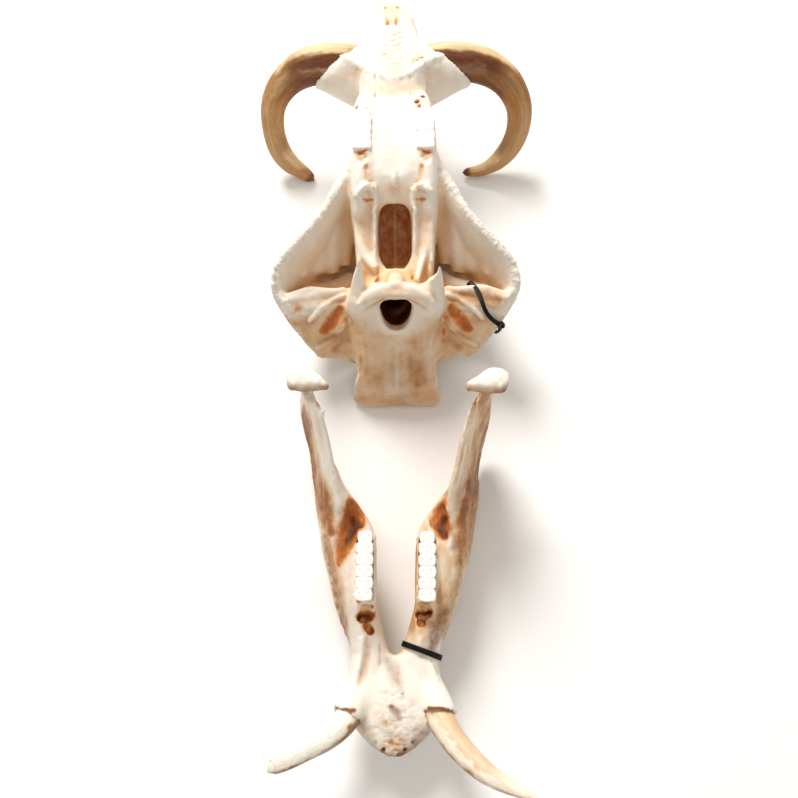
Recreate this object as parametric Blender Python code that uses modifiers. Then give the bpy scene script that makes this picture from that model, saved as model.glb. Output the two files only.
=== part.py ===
"""Warthog skull at life size: the cranium lies on its back beside the lower jaw, which stands on its
lower border. Bone shapes are lofts written in millimetres in each bone's own axes, fused and blended,
and the finished bones are turned and set down on the floor at Z = 0, in metres."""

import math

import bmesh
import bpy
from mathutils import Matrix, Vector
from mathutils.geometry import convex_hull_2d

MM = 0.001

# Driving sizes of the cranium. Its own axes: X to the animal's left, Y to the snout, Z towards the palate.
SNOUT_TIP_Y = 348.0
CHEEK_HALF_WIDTH = 121.5
NUCHAL_CREST_HALF_WIDTH = 49.0
NUCHAL_CREST_Z = -175.6
UPPER_MOLAR_X = 31.0
UPPER_MOLAR_REAR_Y = 140.0
UPPER_MOLAR_LENGTH = 47.0
UPPER_MOLAR_WIDTH = 17.0
UPPER_MOLAR_CROWN = 8.0

# Driving sizes of the jaw. Its own axes: X to the animal's left, Y from the chin to the condyles, Z up.
JAW_CONDYLE_X = 80.0
JAW_CONDYLE_Y = 316.0
JAW_CONDYLE_Z = 149.0
LOWER_MOLAR_X = 28.5
LOWER_MOLAR_FRONT_Y = 132.0
LOWER_MOLAR_LENGTH = 57.0
LOWER_MOLAR_WIDTH = 15.5
LOWER_MOLAR_TOP = 84.0

# Tusks. The upper ones curl in a plane that leans back from upright.
UPPER_TUSK_ROOT = Vector((0.0, 276.0, -27.0))
UPPER_TUSK_LEAN = 29.8
TUSK_FLATNESS = 0.8

# The black ties, each in its bone's own axes: a point on the tie's plane, the way it faces, and how far it
# swerves from that plane, about which angle and how many degrees to each side.
ARCH_TIE_PLACE = (90.6, 17.9, -104.5)
ARCH_TIE_AXIS = (0.80, 0.59, 0.11)
ARCH_TIE_SWERVE = (9.0, -64, 56)
JAW_TIE_PLACE = (23, 89, 26)
JAW_TIE_AXIS = (0.33, 0.94, 0.0)
JAW_TIE_SWERVE = (0.0, 0, 90)
TIE_STEPS = 32

# How the two bones lie: the cranium on its tusks and nuchal crest, the jaw on its lower border.
CENTRE_X = 0.7
CENTRE_Y = 19.8
CRANIUM_PLACE = (0.4, 71.0, 166.0)
CRANIUM_TILT = -8.1
CRANIUM_TURN = 0.85
JAW_PLACE = (-0.8, -344.0, 0.0)
JAW_TURN = -0.5

# How the bones are blended, in millimetres and triangles.
BLEND_VOXEL = 2.4
CRANIUM_TRIANGLES = 7200
JAW_TRIANGLES = 3200
GAP = 0.3

BONE_COLOUR = (0.80, 0.69, 0.53, 1.0)
TUSK_COLOUR = (0.52, 0.30, 0.13, 1.0)
LOWER_TUSK_COLOUR = (0.86, 0.74, 0.57, 1.0)
TOOTH_COLOUR = (0.90, 0.84, 0.74, 1.0)
TIE_COLOUR = (0.012, 0.012, 0.013, 1.0)


def clear_scene():
    for obj in list(bpy.data.objects):
        bpy.data.objects.remove(obj, do_unlink=True)


def new_collection(name):
    collection = bpy.data.collections.new(name)
    bpy.context.scene.collection.children.link(collection)
    return collection


def new_material(name, colour, roughness):
    material = bpy.data.materials.new(name)
    material.use_nodes = True
    shader = material.node_tree.nodes["Principled BSDF"]
    shader.inputs["Base Color"].default_value = colour
    shader.inputs["Roughness"].default_value = roughness
    shader.inputs["Metallic"].default_value = 0.0
    material.diffuse_color = colour
    return material


def object_from_bmesh(name, mesh_data, collection):
    mesh = bpy.data.meshes.new(name)
    mesh_data.to_mesh(mesh)
    mesh_data.free()
    obj = bpy.data.objects.new(name, mesh)
    collection.objects.link(obj)
    return obj


def spline(values, t):
    """A smooth curve through rows of numbers, at t from 0 to len(values) - 1."""
    i = min(int(t), len(values) - 2)
    f = t - i
    before = values[max(i - 1, 0)]
    start, end = values[i], values[i + 1]
    after = values[min(i + 2, len(values) - 1)]
    return [
        0.5 * (2 * q + (r - p) * f + (2 * p - 5 * q + 4 * r - s) * f * f + (3 * q - p - 3 * r + s) * f**3)
        for p, q, r, s in zip(before, start, end, after)
    ]


def power_wave(value, power):
    return math.copysign(abs(value) ** (2.0 / power), value)


def loft(name, sections, collection, sides=20, steps=4, power=2.4, side=1, shift=0.0):
    """A closed body through flat sections. A section is its two edge points and its width at each edge.
    It is mirrored to the right for side -1, and then moved by shift, where the two sides differ."""
    rows = [[*a, *b, width_a, width_b] for a, b, width_a, width_b in sections]
    spans = (len(rows) - 1) * steps
    smooth = [spline(rows, k / steps) for k in range(spans + 1)]
    for row in smooth:
        row[0] = row[0] * side + shift
        row[3] = row[3] * side + shift
    edges = [(Vector(r[0:3]), Vector(r[3:6]), max(r[6], 0.6), max(r[7], 0.6)) for r in smooth]
    middles = [(a + b) / 2 for a, b, _, _ in edges]
    body = bmesh.new()
    rings = []
    for k, (a, b, width_a, width_b) in enumerate(edges):
        along = middles[min(k + 1, spans)] - middles[max(k - 1, 0)]
        across = along.cross(a - b).normalized()
        ring = []
        for n in range(sides):
            angle = 2 * math.pi * (n + 0.5) / sides
            long = power_wave(math.cos(angle), power)
            short = power_wave(math.sin(angle), power)
            width = width_b + (width_a - width_b) * (long + 1) / 2
            place = middles[k] + (a - b) * (long / 2) + across * (width * short / 2)
            ring.append(body.verts.new(place * MM))
        rings.append(ring)
    for ring, following in zip(rings, rings[1:]):
        for n in range(sides):
            m = (n + 1) % sides
            body.faces.new((ring[n], ring[m], following[m], following[n]))
    body.faces.new(rings[0][::-1])
    body.faces.new(rings[-1])
    bmesh.ops.triangulate(body, faces=[f for f in body.faces if len(f.verts) > 4])
    bmesh.ops.recalc_face_normals(body, faces=body.faces)
    return object_from_bmesh(name, body, collection)


def pair(name, sections, collection, **shape):
    """The same loft on both sides of the skull."""
    return [
        loft(name + "_left", sections, collection, side=1, **shape),
        loft(name + "_right", sections, collection, side=-1, **shape),
    ]


def rod(points, lean=Vector((0, 0, 1))):
    """Sections of a round rod, from (x, y, z, radius) or (x, y, z, radius, other radius) points."""
    sections = []
    places = [Vector(p[:3]) for p in points]
    for k, point in enumerate(points):
        along = (places[min(k + 1, len(places) - 1)] - places[max(k - 1, 0)]).normalized()
        up = (lean - along * lean.dot(along)).normalized()
        radius, other = point[3], point[-1]
        sections.append((places[k] + up * radius, places[k] - up * radius, 2 * other, 2 * other))
    return sections


def ellipsoid(name, centre, radii, collection, turn=(0, 0, 0)):
    body = bmesh.new()
    bmesh.ops.create_uvsphere(body, u_segments=24, v_segments=14, radius=1.0)
    obj = object_from_bmesh(name, body, collection)
    turned = Matrix.Rotation(math.radians(turn[2]), 4, "Z") @ Matrix.Rotation(math.radians(turn[1]), 4, "Y")
    turned = turned @ Matrix.Rotation(math.radians(turn[0]), 4, "X")
    size = Matrix.Diagonal((*(Vector(radii) * MM), 1))
    obj.data.transform(Matrix.Translation(Vector(centre) * MM) @ turned @ size)
    return obj


def ellipsoid_pair(name, centre, radii, collection, turn=(0, 0, 0)):
    x, y, z = centre
    return [
        ellipsoid(name + "_left", (x, y, z), radii, collection, turn),
        ellipsoid(name + "_right", (-x, y, z), radii, collection, (turn[0], -turn[1], -turn[2])),
    ]


def apply_modifiers(obj):
    bpy.context.view_layer.update()
    graph = bpy.context.evaluated_depsgraph_get()
    mesh = bpy.data.meshes.new_from_object(obj.evaluated_get(graph))
    obj.modifiers.clear()
    old = obj.data
    obj.data = mesh
    bpy.data.meshes.remove(old)


def remove_objects(collection):
    for obj in list(collection.objects):
        bpy.data.objects.remove(obj, do_unlink=True)
    bpy.data.collections.remove(collection)


def boolean(obj, collection, operation):
    """Joins or cuts obj by every object of a collection at once, and removes them."""
    modifier = obj.modifiers.new(operation.lower(), "BOOLEAN")
    modifier.operation = operation
    modifier.operand_type = "COLLECTION"
    modifier.collection = collection
    modifier.solver = "MANIFOLD"
    apply_modifiers(obj)
    remove_objects(collection)


def keep_largest(obj):
    """Keeps the largest closed surface, without the scraps and sealed hollows that fusing can leave."""
    body = bmesh.new()
    body.from_mesh(obj.data)
    unseen = set(body.verts)
    groups = []
    while unseen:
        group, front = set(), [unseen.pop()]
        while front:
            vert = front.pop()
            group.add(vert)
            for edge in vert.link_edges:
                other = edge.other_vert(vert)
                if other in unseen:
                    unseen.discard(other)
                    front.append(other)
        groups.append(group)
    groups.sort(key=len)
    scraps = [vert for group in groups[:-1] for vert in group]
    bmesh.ops.delete(body, geom=scraps, context="VERTS")
    body.to_mesh(obj.data)
    body.free()


def blend(obj, voxel, rounds):
    """Melts the joins between fused shapes, as bone grows over a suture."""
    remesh = obj.modifiers.new("remesh", "REMESH")
    remesh.mode = "VOXEL"
    remesh.voxel_size = voxel * MM
    smooth = obj.modifiers.new("smooth", "SMOOTH")
    smooth.factor = 0.5
    smooth.iterations = rounds
    apply_modifiers(obj)
    keep_largest(obj)


def thin_out(obj, triangles):
    """Brings a blended bone down to about this many triangles."""
    now = sum(len(face.vertices) - 2 for face in obj.data.polygons)
    decimate = obj.modifiers.new("decimate", "DECIMATE")
    decimate.ratio = min(1.0, triangles / now)
    apply_modifiers(obj)


def fuse(name, pieces, collection):
    """One object from a collection of closed pieces, by a single union."""
    first = pieces.objects[0]
    base = bpy.data.objects.new(name, first.data.copy())
    collection.objects.link(base)
    bpy.data.objects.remove(first, do_unlink=True)
    boolean(base, pieces, "UNION")
    return base


def face_bones(pieces):
    """Maxilla, nasals and premaxilla: the long muzzle from the cheeks to the snout."""
    muzzle = [
        (SNOUT_TIP_Y, -6, -24, 30, 18),
        (341, -4, -30, 42, 26),
        (325, -1, -37, 54, 34),
        (307, 0, -44, 62, 40),
        (288, 1, -51, 68, 46),
        (262, 2, -59, 74, 52),
        (235, 2, -68, 76, 60),
        (205, 2, -78, 73, 66),
        (170, 2, -91, 75, 74),
        (140, 0, -103, 78, 90),
        (115, -9, -118, 76, 104),
        (95, -32, -132, 72, 108),
    ]
    loft("muzzle", [((0, y, v), (0, y, d), wv, wd) for y, v, d, wv, wd in muzzle], pieces, sides=28, power=3.0)
    pair(
        "tooth_ridge",
        [
            ((26, 222, -6), (26, 220, -26), 14, 16),
            ((29, 200, 3), (29, 200, -30), 21, 22),
            ((29.5, 170, 4), (30, 170, -30), 24, 26),
            ((29.5, 140, 2), (30, 140, -34), 24, 28),
            ((32, 120, -5), (31, 118, -46), 21, 28),
            ((34, 102, -15), (33, 98, -66), 18, 24),
            ((36, 86, -30), (34, 82, -80), 12, 18),
        ],
        pieces,
    )


def tusk_sheaths(pieces):
    """The flanges that carry the upper tusks out from the muzzle."""
    pair(
        "sheath",
        [
            ((20, 292, -10), (20, 224, -48), 46, 38),
            ((40, 286, -12), (40, 238, -51), 42, 32),
            ((58, 276, -17), (58, 250, -50), 38, 26),
            ((73, 269, -24), (73, 257, -46), 27, 18),
            ((84, 263, -32), (84, 259, -43), 14, 12),
        ],
        pieces,
        power=2.2,
    )


def braincase(pieces):
    """Frontals, parietals and the walls of the brain's case, back to the nuchal crest."""
    vault = [
        (135, -50, -104, 70, 80),
        (110, -54, -122, 72, 84),
        (90, -58, -138, 66, 84),
        (72, -60, -147, 64, 80),
        (52, -61, -152, 64, 78),
        (30, -62, -158, 70, 76),
        (8, -66, -164, 76, 76),
        (-14, -86, -168, 80, 78),
        (-34, -116, -172, 80, 82),
        (-52, -150, NUCHAL_CREST_Z, 80, 2 * NUCHAL_CREST_HALF_WIDTH),
    ]
    loft("vault", [((0, y, v), (0, y, d), wv, wd) for y, v, d, wv, wd in vault], pieces, sides=28, power=2.8)
    roof = [
        (158, 30, -88, 8),
        (138, 38, -100, 14),
        (118, 46, -116, 18),
        (98, 56, -134, 18),
        (80, 63, -142, 15),
        (62, 66, -145, 13),
        (46, 61, -147, 12),
        (30, 50, -151, 14),
        (10, 41, -158, 15),
    ]
    loft("roof", [((w, y, z), (-w, y, z), t, t) for y, w, z, t in roof], pieces, sides=28, power=2.6)
    occiput = [
        (-60, 20, 31, 20),
        (-80, 12, 40, 26),
        (-102, 1, 46, 26),
        (-122, -12, 46, 22),
        (-142, -27, 42, 18),
        (-154, -38, 41, 14),
        (-166, -49, 46, 12),
        (NUCHAL_CREST_Z + 2, -57, NUCHAL_CREST_HALF_WIDTH, 9),
    ]
    loft("occiput", [((w, y, z), (-w, y, z), t, t) for z, y, w, t in occiput], pieces, sides=28, power=3.2)
    loft("skull_base", rod([(0, 10, -66, 9, 18), (0, 34, -70, 10, 15), (0, 62, -80, 10, 13)]), pieces)
    pair("condyle", rod([(0, 14, -58, 6.5, 9), (13, 14, -59, 7.5, 9), (27, 11, -65, 8, 9), (38, 8, -73, 5, 6)]), pieces)
    pair("throat_spur", rod([(38, 10, -92, 13), (37, 20, -70, 9), (36, 27, -52, 6), (35, 31, -38, 3.5)]), pieces)


def cheek_arches(pieces):
    """The flared zygomatic arches and the squamosal walls behind them, with the jaw joints."""
    width = CHEEK_HALF_WIDTH
    pair(
        "arch",
        [
            ((27, 194, -18), (27, 186, -68), 10, 14),
            ((33, 160, -12), (32, 148, -84), 22, 32),
            ((42, 138, -19), (41, 128, -98), 28, 30),
            ((57, 113, -22), (55, 106, -110), 19, 18),
            ((69, 90, -25), (66, 87, -112), 16, 13),
            ((83, 72, -30), (75, 66, -126), 16, 13),
            ((101, 56, -37), (82, 49, -132), 15, 12),
            ((width - 7, 43, -46), (86, 35, -135), 15, 10),
            ((width - 1, 31, -53), (89, 22, -136), 14, 9),
            ((width - 2, 18, -64), (91, 10, -134), 12, 10),
            ((width - 11, 9, -81), (89, -1, -128), 11, 10),
            ((96, 0, -100), (86, -9, -124), 11, 10),
        ],
        pieces,
        sides=24,
    )
    pair(
        "joint_wall",
        [
            ((30, 38, -84), (33, -20, -160), 20, 22),
            ((46, 34, -80), (46, -15, -152), 18, 19),
            ((62, 29, -77), (64, -15, -141), 18, 18),
            ((78, 25, -74), (81, -18, -134), 15, 13),
            ((96, 20, -71), (92, -7, -119), 15, 11),
            ((112, 17, -66), (107, 4, -96), 13, 11),
        ],
        pieces,
        sides=24,
    )
    eye_ring(pieces)


def eye_ring(pieces):
    """The raised rim of the eye socket, open behind, with the bone in front of it and the two horns."""
    middle, dorsal = Vector((74, 82, -124)), Vector((-0.36, 0, -0.93))
    arc = [math.radians(degrees) for degrees in range(-110, 171, 20)]
    places = [middle + Vector((0, 20, 0)) * math.cos(angle) + dorsal * (20 * math.sin(angle)) for angle in arc]
    pair("eye_rim", rod([(*place, 8, 5.5) for place in places], Vector((1, 0, 0.2))), pieces, sides=12, steps=2)
    pair(
        "eye_front",
        [
            ((40, 128, -72), (38, 122, -116), 16, 16),
            ((52, 116, -84), (50, 112, -134), 18, 16),
            ((66, 104, -98), (60, 101, -142), 12, 14),
        ],
        pieces,
    )
    pair(
        "rear_horn",
        [
            ((56, 76, -145), (54, 46, -148), 14, 14),
            ((68, 76, -142), (66, 50, -142), 11, 11),
            ((76, 70, -138), (75, 54, -137), 8, 8),
        ],
        pieces,
    )
    pair(
        "cheek_horn",
        [
            ((76, 74, -104), (86, 48, -112), 10, 9),
            ((78, 70, -118), (83, 51, -122), 8, 8),
            ((80, 65, -127), (81, 57, -128), 6, 6),
        ],
        pieces,
    )


def throat_plates(pieces):
    """Pterygoid and palatine plates on both sides of the rear nostrils."""
    pair(
        "inner_plate",
        [
            ((20, 106, -16), (19, 106, -92), 8, 12),
            ((19.5, 90, -26), (19, 90, -92), 5, 12),
            ((20, 70, -40), (19, 70, -92), 4, 12),
            ((19, 50, -55), (18, 50, -92), 4, 12),
            ((16, 38, -62), (16, 38, -90), 4, 10),
        ],
        pieces,
        sides=16,
    )
    pair(
        "outer_plate",
        [
            ((37, 104, -20), (34, 104, -96), 9, 14),
            ((39, 86, -36), (33, 86, -96), 6, 14),
            ((38, 66, -48), (32, 66, -96), 5, 14),
            ((36, 48, -57), (32, 48, -96), 5, 14),
            ((34, 34, -66), (31, 34, -96), 5, 12),
        ],
        pieces,
        sides=16,
    )
    pair(
        "plate_web",
        [
            ((28, 108, -22), (28, 108, -92), 20, 20),
            ((29, 88, -42), (28, 88, -94), 20, 20),
            ((29, 66, -56), (28, 66, -96), 20, 20),
            ((27, 44, -66), (27, 44, -96), 20, 20),
        ],
        pieces,
        sides=16,
        power=3.0,
    )


def cranium_hollows(cutters):
    """The openings a skull shows: spinal canal, rear nostrils, eye sockets, nose and small pits."""
    spinal_canal = [(-34, 14, 40, 21), (-20, 14, 40, 21), (0, 0, 38, 20), (24, -16, 34, 18), (50, -34, 28, 16)]
    loft(
        "spinal_canal",
        [((0, 4 + y, -59 + z), (0, -7 + y, -92 + z), wide, narrow) for y, z, wide, narrow in spinal_canal],
        cutters,
        power=2.8,
    )
    rear_nostrils = [
        (21, -78, -88, 20),
        (36, -68, -94, 28),
        (60, -50, -96, 34),
        (80, -34, -96, 35),
        (96, -31, -92, 33),
        (116, -38, -80, 30),
        (140, -38, -60, 24),
    ]
    loft(
        "rear_nostrils",
        [((0, y, v), (0, y, d), w, w) for y, v, d, w in rear_nostrils],
        cutters,
        power=3.0,
    )
    pair("eye_socket", rod([(98, 82, -133, 16), (72, 82, -124, 16), (46, 82, -114, 11)], Vector((0, 1, 0))), cutters)
    ellipsoid_pair("nostril", (17, 328, -30), (9, 20, 6), cutters, (0, 0, 20))
    ellipsoid_pair("ear_pit", (59, 2, -101), (6, 7, 15), cutters, (20, -40, 0))
    ellipsoid_pair("canine_pit", (45, 205, -48), (9, 24, 12), cutters)
    ellipsoid_pair("bulb_pit", (31, 128, 2), (7, 6, 9), cutters)
    ellipsoid_pair("incisor_socket", (8, 346, -10), (4, 6, 4), cutters)
    ellipsoid_pair("palate_slot", (6, 326, 2), (3.5, 8, 5), cutters)


def chin_and_body(pieces):
    """The jaw's fused chin and the two bodies that carry the cheek teeth."""
    chin = [
        (-3, 47, 34, 14, 10),
        (4, 50, 26, 44, 26),
        (15, 52, 17, 76, 44),
        (30, 54, 9, 96, 56),
        (48, 54, 2, 94, 58),
        (66, 52, 1, 82, 58),
        (84, 50, 3.5, 76, 66),
    ]
    loft("chin", [((0, y, t), (0, y, b), wt, wb) for y, t, b, wt, wb in chin], pieces, sides=28, power=2.6)
    pair("tusk_collar", rod([(26, 72, 34, 9), (35, 50, 43, 14), (44, 30, 53, 14)]), pieces)
    pair(
        "body",
        [
            ((24, 56, 50), (24, 56, 2), 38, 36),
            ((22, 82, 52), (25, 82, 4), 40, 30),
            ((25, 95, 55), (28, 95, 4), 38, 28),
            ((28, 108, 59), (34, 108, 4), 40, 27),
            ((35, 132, 68), (43, 132, 1), 46, 28),
            ((37.5, 160, 74), (53, 160, -0.6), 52, 28),
            ((40.5, 188, 78), (63, 188, -0.6), 58, 28),
            ((43.5, 208, 82), (72, 212, -0.4), 48, 24),
            ((54, 230, 92), (78, 234, 0.6), 28, 19),
            ((58, 250, 100), (81, 256, 4), 14, 14),
        ],
        pieces,
        sides=24,
        power=2.5,
    )
    pair(
        "tooth_bank",
        [
            ((26, 112, 58), (27, 112, 42), 14, 18),
            ((28, 128, 72), (29, 128, 46), 20, 23),
            ((28.5, 160, 77), (30, 160, 50), 21.5, 25),
            ((29.5, 188, 79), (32, 188, 52), 22, 25),
            ((35, 206, 80), (38, 206, 56), 16, 22),
        ],
        pieces,
        power=3.2,
    )


def jaw_branches(pieces):
    """The upright plates behind the teeth, up to the condyles."""
    pair(
        "branch",
        [
            ((47, 196, 80), (70, 206, 6), 16, 20),
            ((50, 222, 94), (77, 232, 3), 15, 16),
            ((56, 248, 112), (82, 258, 4), 12, 13),
            ((61, 274, 128), (86, 284, 12), 10, 11),
            ((67, 297, 146), (92, 304, 30), 6, 10),
            ((73, 306, 126), (93, 317, 54), 8, 10),
            ((78, 312, 112), (91, 325, 80), 9, 10),
        ],
        pieces,
        sides=24,
        shift=-2.0,
    )
    pair(
        "neck",
        [
            ((74, 301, 100), (91, 326, 80), 9, 10),
            ((76, 305, 122), (88, 326, 108), 9, 11),
            ((78, 308, 136), (85, 325, 132), 11, 13),
            ((80, 309, 145), (82, 322, 145), 18, 18),
        ],
        pieces,
        shift=-1.0,
    )
    x, y, z = JAW_CONDYLE_X, JAW_CONDYLE_Y, JAW_CONDYLE_Z
    pair(
        "jaw_condyle",
        rod(
            [
                (x - 21, y - 5, z + 0.5, 4, 4),
                (x - 9, y - 3, z, 7, 8),
                (x + 6, y + 2, z - 1, 9, 13),
                (x + 18, y + 1, z - 3, 7, 10),
            ]
        ),
        pieces,
    )


def jaw_hollows(cutters):
    """The stained pockets behind the last molars and the empty sockets in front of the first."""
    pair("rear_pocket", rod([(45, 182, 82, 5), (43, 197, 79, 8), (38, 209, 80, 9), (34, 218, 90, 6)]), cutters)
    ellipsoid_pair("front_socket", (28, 122, 70), (6, 5, 10), cutters)
    ellipsoid_pair("small_socket", (26, 110, 64), (5, 4, 8), cutters)
    loft("tongue_trough", rod([(0, 110, 64, 20, 14), (0, 84, 62, 14, 12), (0, 56, 61, 9, 10)]), cutters)


def upper_tusk_path(side):
    """Centre line and radii of an upper tusk: across, along the curl, radius."""
    right = [
        (-30, -4, 15),
        (-54, -4.5, 18),
        (-75, -1.5, 20),
        (-93, 3, 19.5),
        (-110, 13, 17),
        (-123.5, 28, 15),
        (-131, 46, 13.2),
        (-132, 70, 12.2),
        (-127, 91, 12.2),
        (-117, 106, 11.2),
        (-106, 114.5, 8.8),
        (-98, 121, 7),
        (-94, 124.5, 4.5),
    ]
    left = [
        (30, -4, 15),
        (55, -4, 18),
        (77, -1.5, 19.5),
        (96, 2.5, 19),
        (114, 12, 17),
        (128, 26, 15.5),
        (137.5, 46, 14),
        (138.5, 69, 13),
        (132, 89, 12.2),
        (120, 104.5, 10.4),
        (106.5, 114, 7.8),
        (94, 118, 6.2),
        (84, 119, 4.6),
        (80.5, 119.2, 2.6),
    ]
    return left if side > 0 else right


def upper_tusk(name, side, collection, grow=0.0):
    lean = math.radians(UPPER_TUSK_LEAN)
    curl = Vector((0, -math.sin(lean), -math.cos(lean)))
    depth = Vector((0, math.cos(lean), -math.sin(lean)))
    points = []
    for across, along, radius in upper_tusk_path(side):
        place = UPPER_TUSK_ROOT + Vector((across, 0, 0)) + curl * along
        points.append((*place, (radius + grow) * TUSK_FLATNESS, radius + grow))
    return loft(name, rod(points, depth), collection, sides=14, steps=2, power=2.3)


def lower_tusk(name, side, collection, grow=0.0):
    """The left lower tusk runs out to a point, and the right one is broken off square."""
    left = [
        (28, 50, 36, 9),
        (38, 36, 48, 12),
        (46, 22, 57, 11.8),
        (57.5, 7, 65, 10.9),
        (75, -8.5, 77, 9.4),
        (96, -19.5, 91, 6.6),
        (120, -28, 109, 1.4),
    ]
    right = [
        (-28, 50, 36, 9),
        (-37, 38, 48, 11.6),
        (-47, 24.5, 56, 11.4),
        (-60, 14, 62, 10.6),
        (-76, 5.5, 70, 9.6),
        (-91, -2.2, 78, 8.7),
        (-102, -6.5, 84, 8.2),
    ]
    rows = left if side > 0 else right
    points = [(x, y, z, (r + grow) * TUSK_FLATNESS, r + grow) for x, y, z, r in rows]
    return loft(name, rod(points), collection, sides=12, steps=2, power=2.0)


def molar(name, centre_x, rear_y, length, width, low, high, columns, collection, grow=0.0):
    """A long cheek tooth: a root block under a row of transverse pillars."""
    body = bmesh.new()
    pitch = length / columns
    rings = []
    stops = []
    for k in range(columns):
        stops += [(k * pitch, 0.86), (k * pitch + pitch * 0.5, 1.0)]
    stops += [(length, 0.78)]
    for y, share in stops:
        half = width / 2 * share + grow
        reach = y + (-grow if y == 0 else grow if y == length else 0)
        top = high - (0 if share == 1.0 else 1.4)
        profile = [(-half, low), (half, low), (half, top - 2.5), (half * 0.72, top), (-half * 0.72, top)]
        profile += [(-half, top - 2.5)]
        rings.append([body.verts.new(Vector((centre_x + x, rear_y + reach, z)) * MM) for x, z in profile])
    for ring, following in zip(rings, rings[1:]):
        for n in range(len(ring)):
            m = (n + 1) % len(ring)
            body.faces.new((ring[n], ring[m], following[m], following[n]))
    body.faces.new(rings[0][::-1])
    body.faces.new(rings[-1])
    bmesh.ops.recalc_face_normals(body, faces=body.faces)
    return object_from_bmesh(name, body, collection)


def upper_molar(name, side, collection, grow=0.0):
    return molar(
        name,
        side * UPPER_MOLAR_X,
        UPPER_MOLAR_REAR_Y,
        UPPER_MOLAR_LENGTH,
        UPPER_MOLAR_WIDTH,
        -22 - grow,
        UPPER_MOLAR_CROWN,
        5,
        collection,
        grow,
    )


def lower_molar(name, side, collection, grow=0.0):
    return molar(
        name,
        side * LOWER_MOLAR_X,
        LOWER_MOLAR_FRONT_Y,
        LOWER_MOLAR_LENGTH,
        LOWER_MOLAR_WIDTH,
        50 - grow,
        LOWER_MOLAR_TOP,
        6,
        collection,
        grow,
    )


def section_loop(bone, origin, normal):
    """The points of the outline where a plane cuts a bone, for the outline nearest the plane's origin."""
    section = bmesh.new()
    section.from_mesh(bone.data)
    parts = section.verts[:] + section.edges[:] + section.faces[:]
    cut = bmesh.ops.bisect_plane(section, geom=parts, plane_co=origin, plane_no=normal, clear_outer=True)
    rim = {e for e in cut["geom_cut"] if isinstance(e, bmesh.types.BMEdge)}
    unseen = {v for e in rim for v in e.verts}
    loops = []
    while unseen:
        loop, front = [], [unseen.pop()]
        while front:
            vert = front.pop()
            loop.append(vert.co.copy())
            for edge in vert.link_edges:
                other = edge.other_vert(vert)
                if edge in rim and other in unseen:
                    unseen.discard(other)
                    front.append(other)
        loops.append(loop)
    section.free()
    return min(loops, key=lambda loop: (sum(loop, Vector()) / len(loop) - origin).length)


def tie(name, bone, origin, normal, swerve, width, thickness, head_angle, collection):
    """A taut tie: the hull of the bone that it goes round, a gap wider, swept to a flat strap, and its head."""
    origin = Vector(origin) * MM
    normal = Vector(normal).normalized()
    across = normal.cross(Vector((0, 0, 1))).normalized()
    up = normal.cross(across)
    depth, middle, spread = swerve
    flat = []
    for step in range(9):
        offset = width * 0.54 - (width * 1.08 + depth) * step / 8
        loop = section_loop(bone, origin + normal * (offset * MM), normal)
        flat += [Vector(((p - origin).dot(across), (p - origin).dot(up))) for p in loop]
    hull = [flat[i] for i in convex_hull_2d(flat)]
    body = bmesh.new()
    rings = []
    for n in range(TIE_STEPS):
        angle = 2 * math.pi * n / TIE_STEPS
        ray = Vector((math.cos(angle), math.sin(angle)))
        touch = max(hull, key=lambda point: point.dot(ray))
        aside = (math.degrees(math.atan2(touch.y, touch.x)) - middle + 180) % 360 - 180
        bend = depth * math.cos(math.pi / 2 * min(abs(aside) / spread, 1.0)) ** 2
        ring = []
        for out, along in ((0, -1), (0, 1), (1, 1), (1, -1)):
            spot = touch + ray * (2 * GAP + out * thickness) * MM
            place = origin + across * spot.x + up * spot.y + normal * ((along * width / 2 - bend) * MM)
            ring.append(body.verts.new(place))
        rings.append(ring)
    for k in range(TIE_STEPS):
        ring, following = rings[k], rings[(k + 1) % TIE_STEPS]
        for n in range(4):
            m = (n + 1) % 4
            body.faces.new((ring[n], ring[m], following[m], following[n]))
    bmesh.ops.recalc_face_normals(body, faces=body.faces)
    band = object_from_bmesh(name, body, collection)
    angle = math.radians(head_angle)
    ray = Vector((math.cos(angle), math.sin(angle)))
    side = Vector((-math.sin(angle), math.cos(angle)))
    touch = max(hull, key=lambda point: point.dot(ray)) + ray * (2 * GAP + thickness * 0.5 + 2.4) * MM
    head = bmesh.new()
    bmesh.ops.create_cube(head, size=1.0)
    axes = [across * ray.x + up * ray.y, across * side.x + up * side.y, normal]
    turn = Matrix(axes).transposed().to_4x4()
    size = Matrix.Diagonal((*(Vector((4.8, 5.6, width + 1.6)) * MM), 1))
    place = Matrix.Translation(origin + across * touch.x + up * touch.y)
    bmesh.ops.transform(head, matrix=place @ turn @ size, verts=head.verts)
    heads = new_collection(name + "_head")
    object_from_bmesh(name + "_head", head, heads)
    boolean(band, heads, "UNION")
    return band


def stand(obj, place, tilt, turn):
    """Turns a finished bone and sets it in its place on the floor."""
    shift = Matrix.Translation((Vector(place) - Vector((CENTRE_X, CENTRE_Y, 0))) * MM)
    turned = Matrix.Rotation(math.radians(turn), 4, "Z") @ Matrix.Rotation(math.radians(tilt), 4, "X")
    obj.data.transform(shift @ turned)


def rest_on_floor(obj):
    """Trims a hair of bone that would reach under the floor, which leaves small flats to rest on."""
    body = bmesh.new()
    body.from_mesh(obj.data)
    cut = bmesh.ops.bisect_plane(
        body,
        geom=body.verts[:] + body.edges[:] + body.faces[:],
        plane_co=(0, 0, 0),
        plane_no=(0, 0, 1),
        clear_inner=True,
    )
    rim = [e for e in cut["geom_cut"] if isinstance(e, bmesh.types.BMEdge)]
    bmesh.ops.holes_fill(body, edges=rim)
    bmesh.ops.triangulate(body, faces=body.faces)
    body.to_mesh(obj.data)
    body.free()


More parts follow.
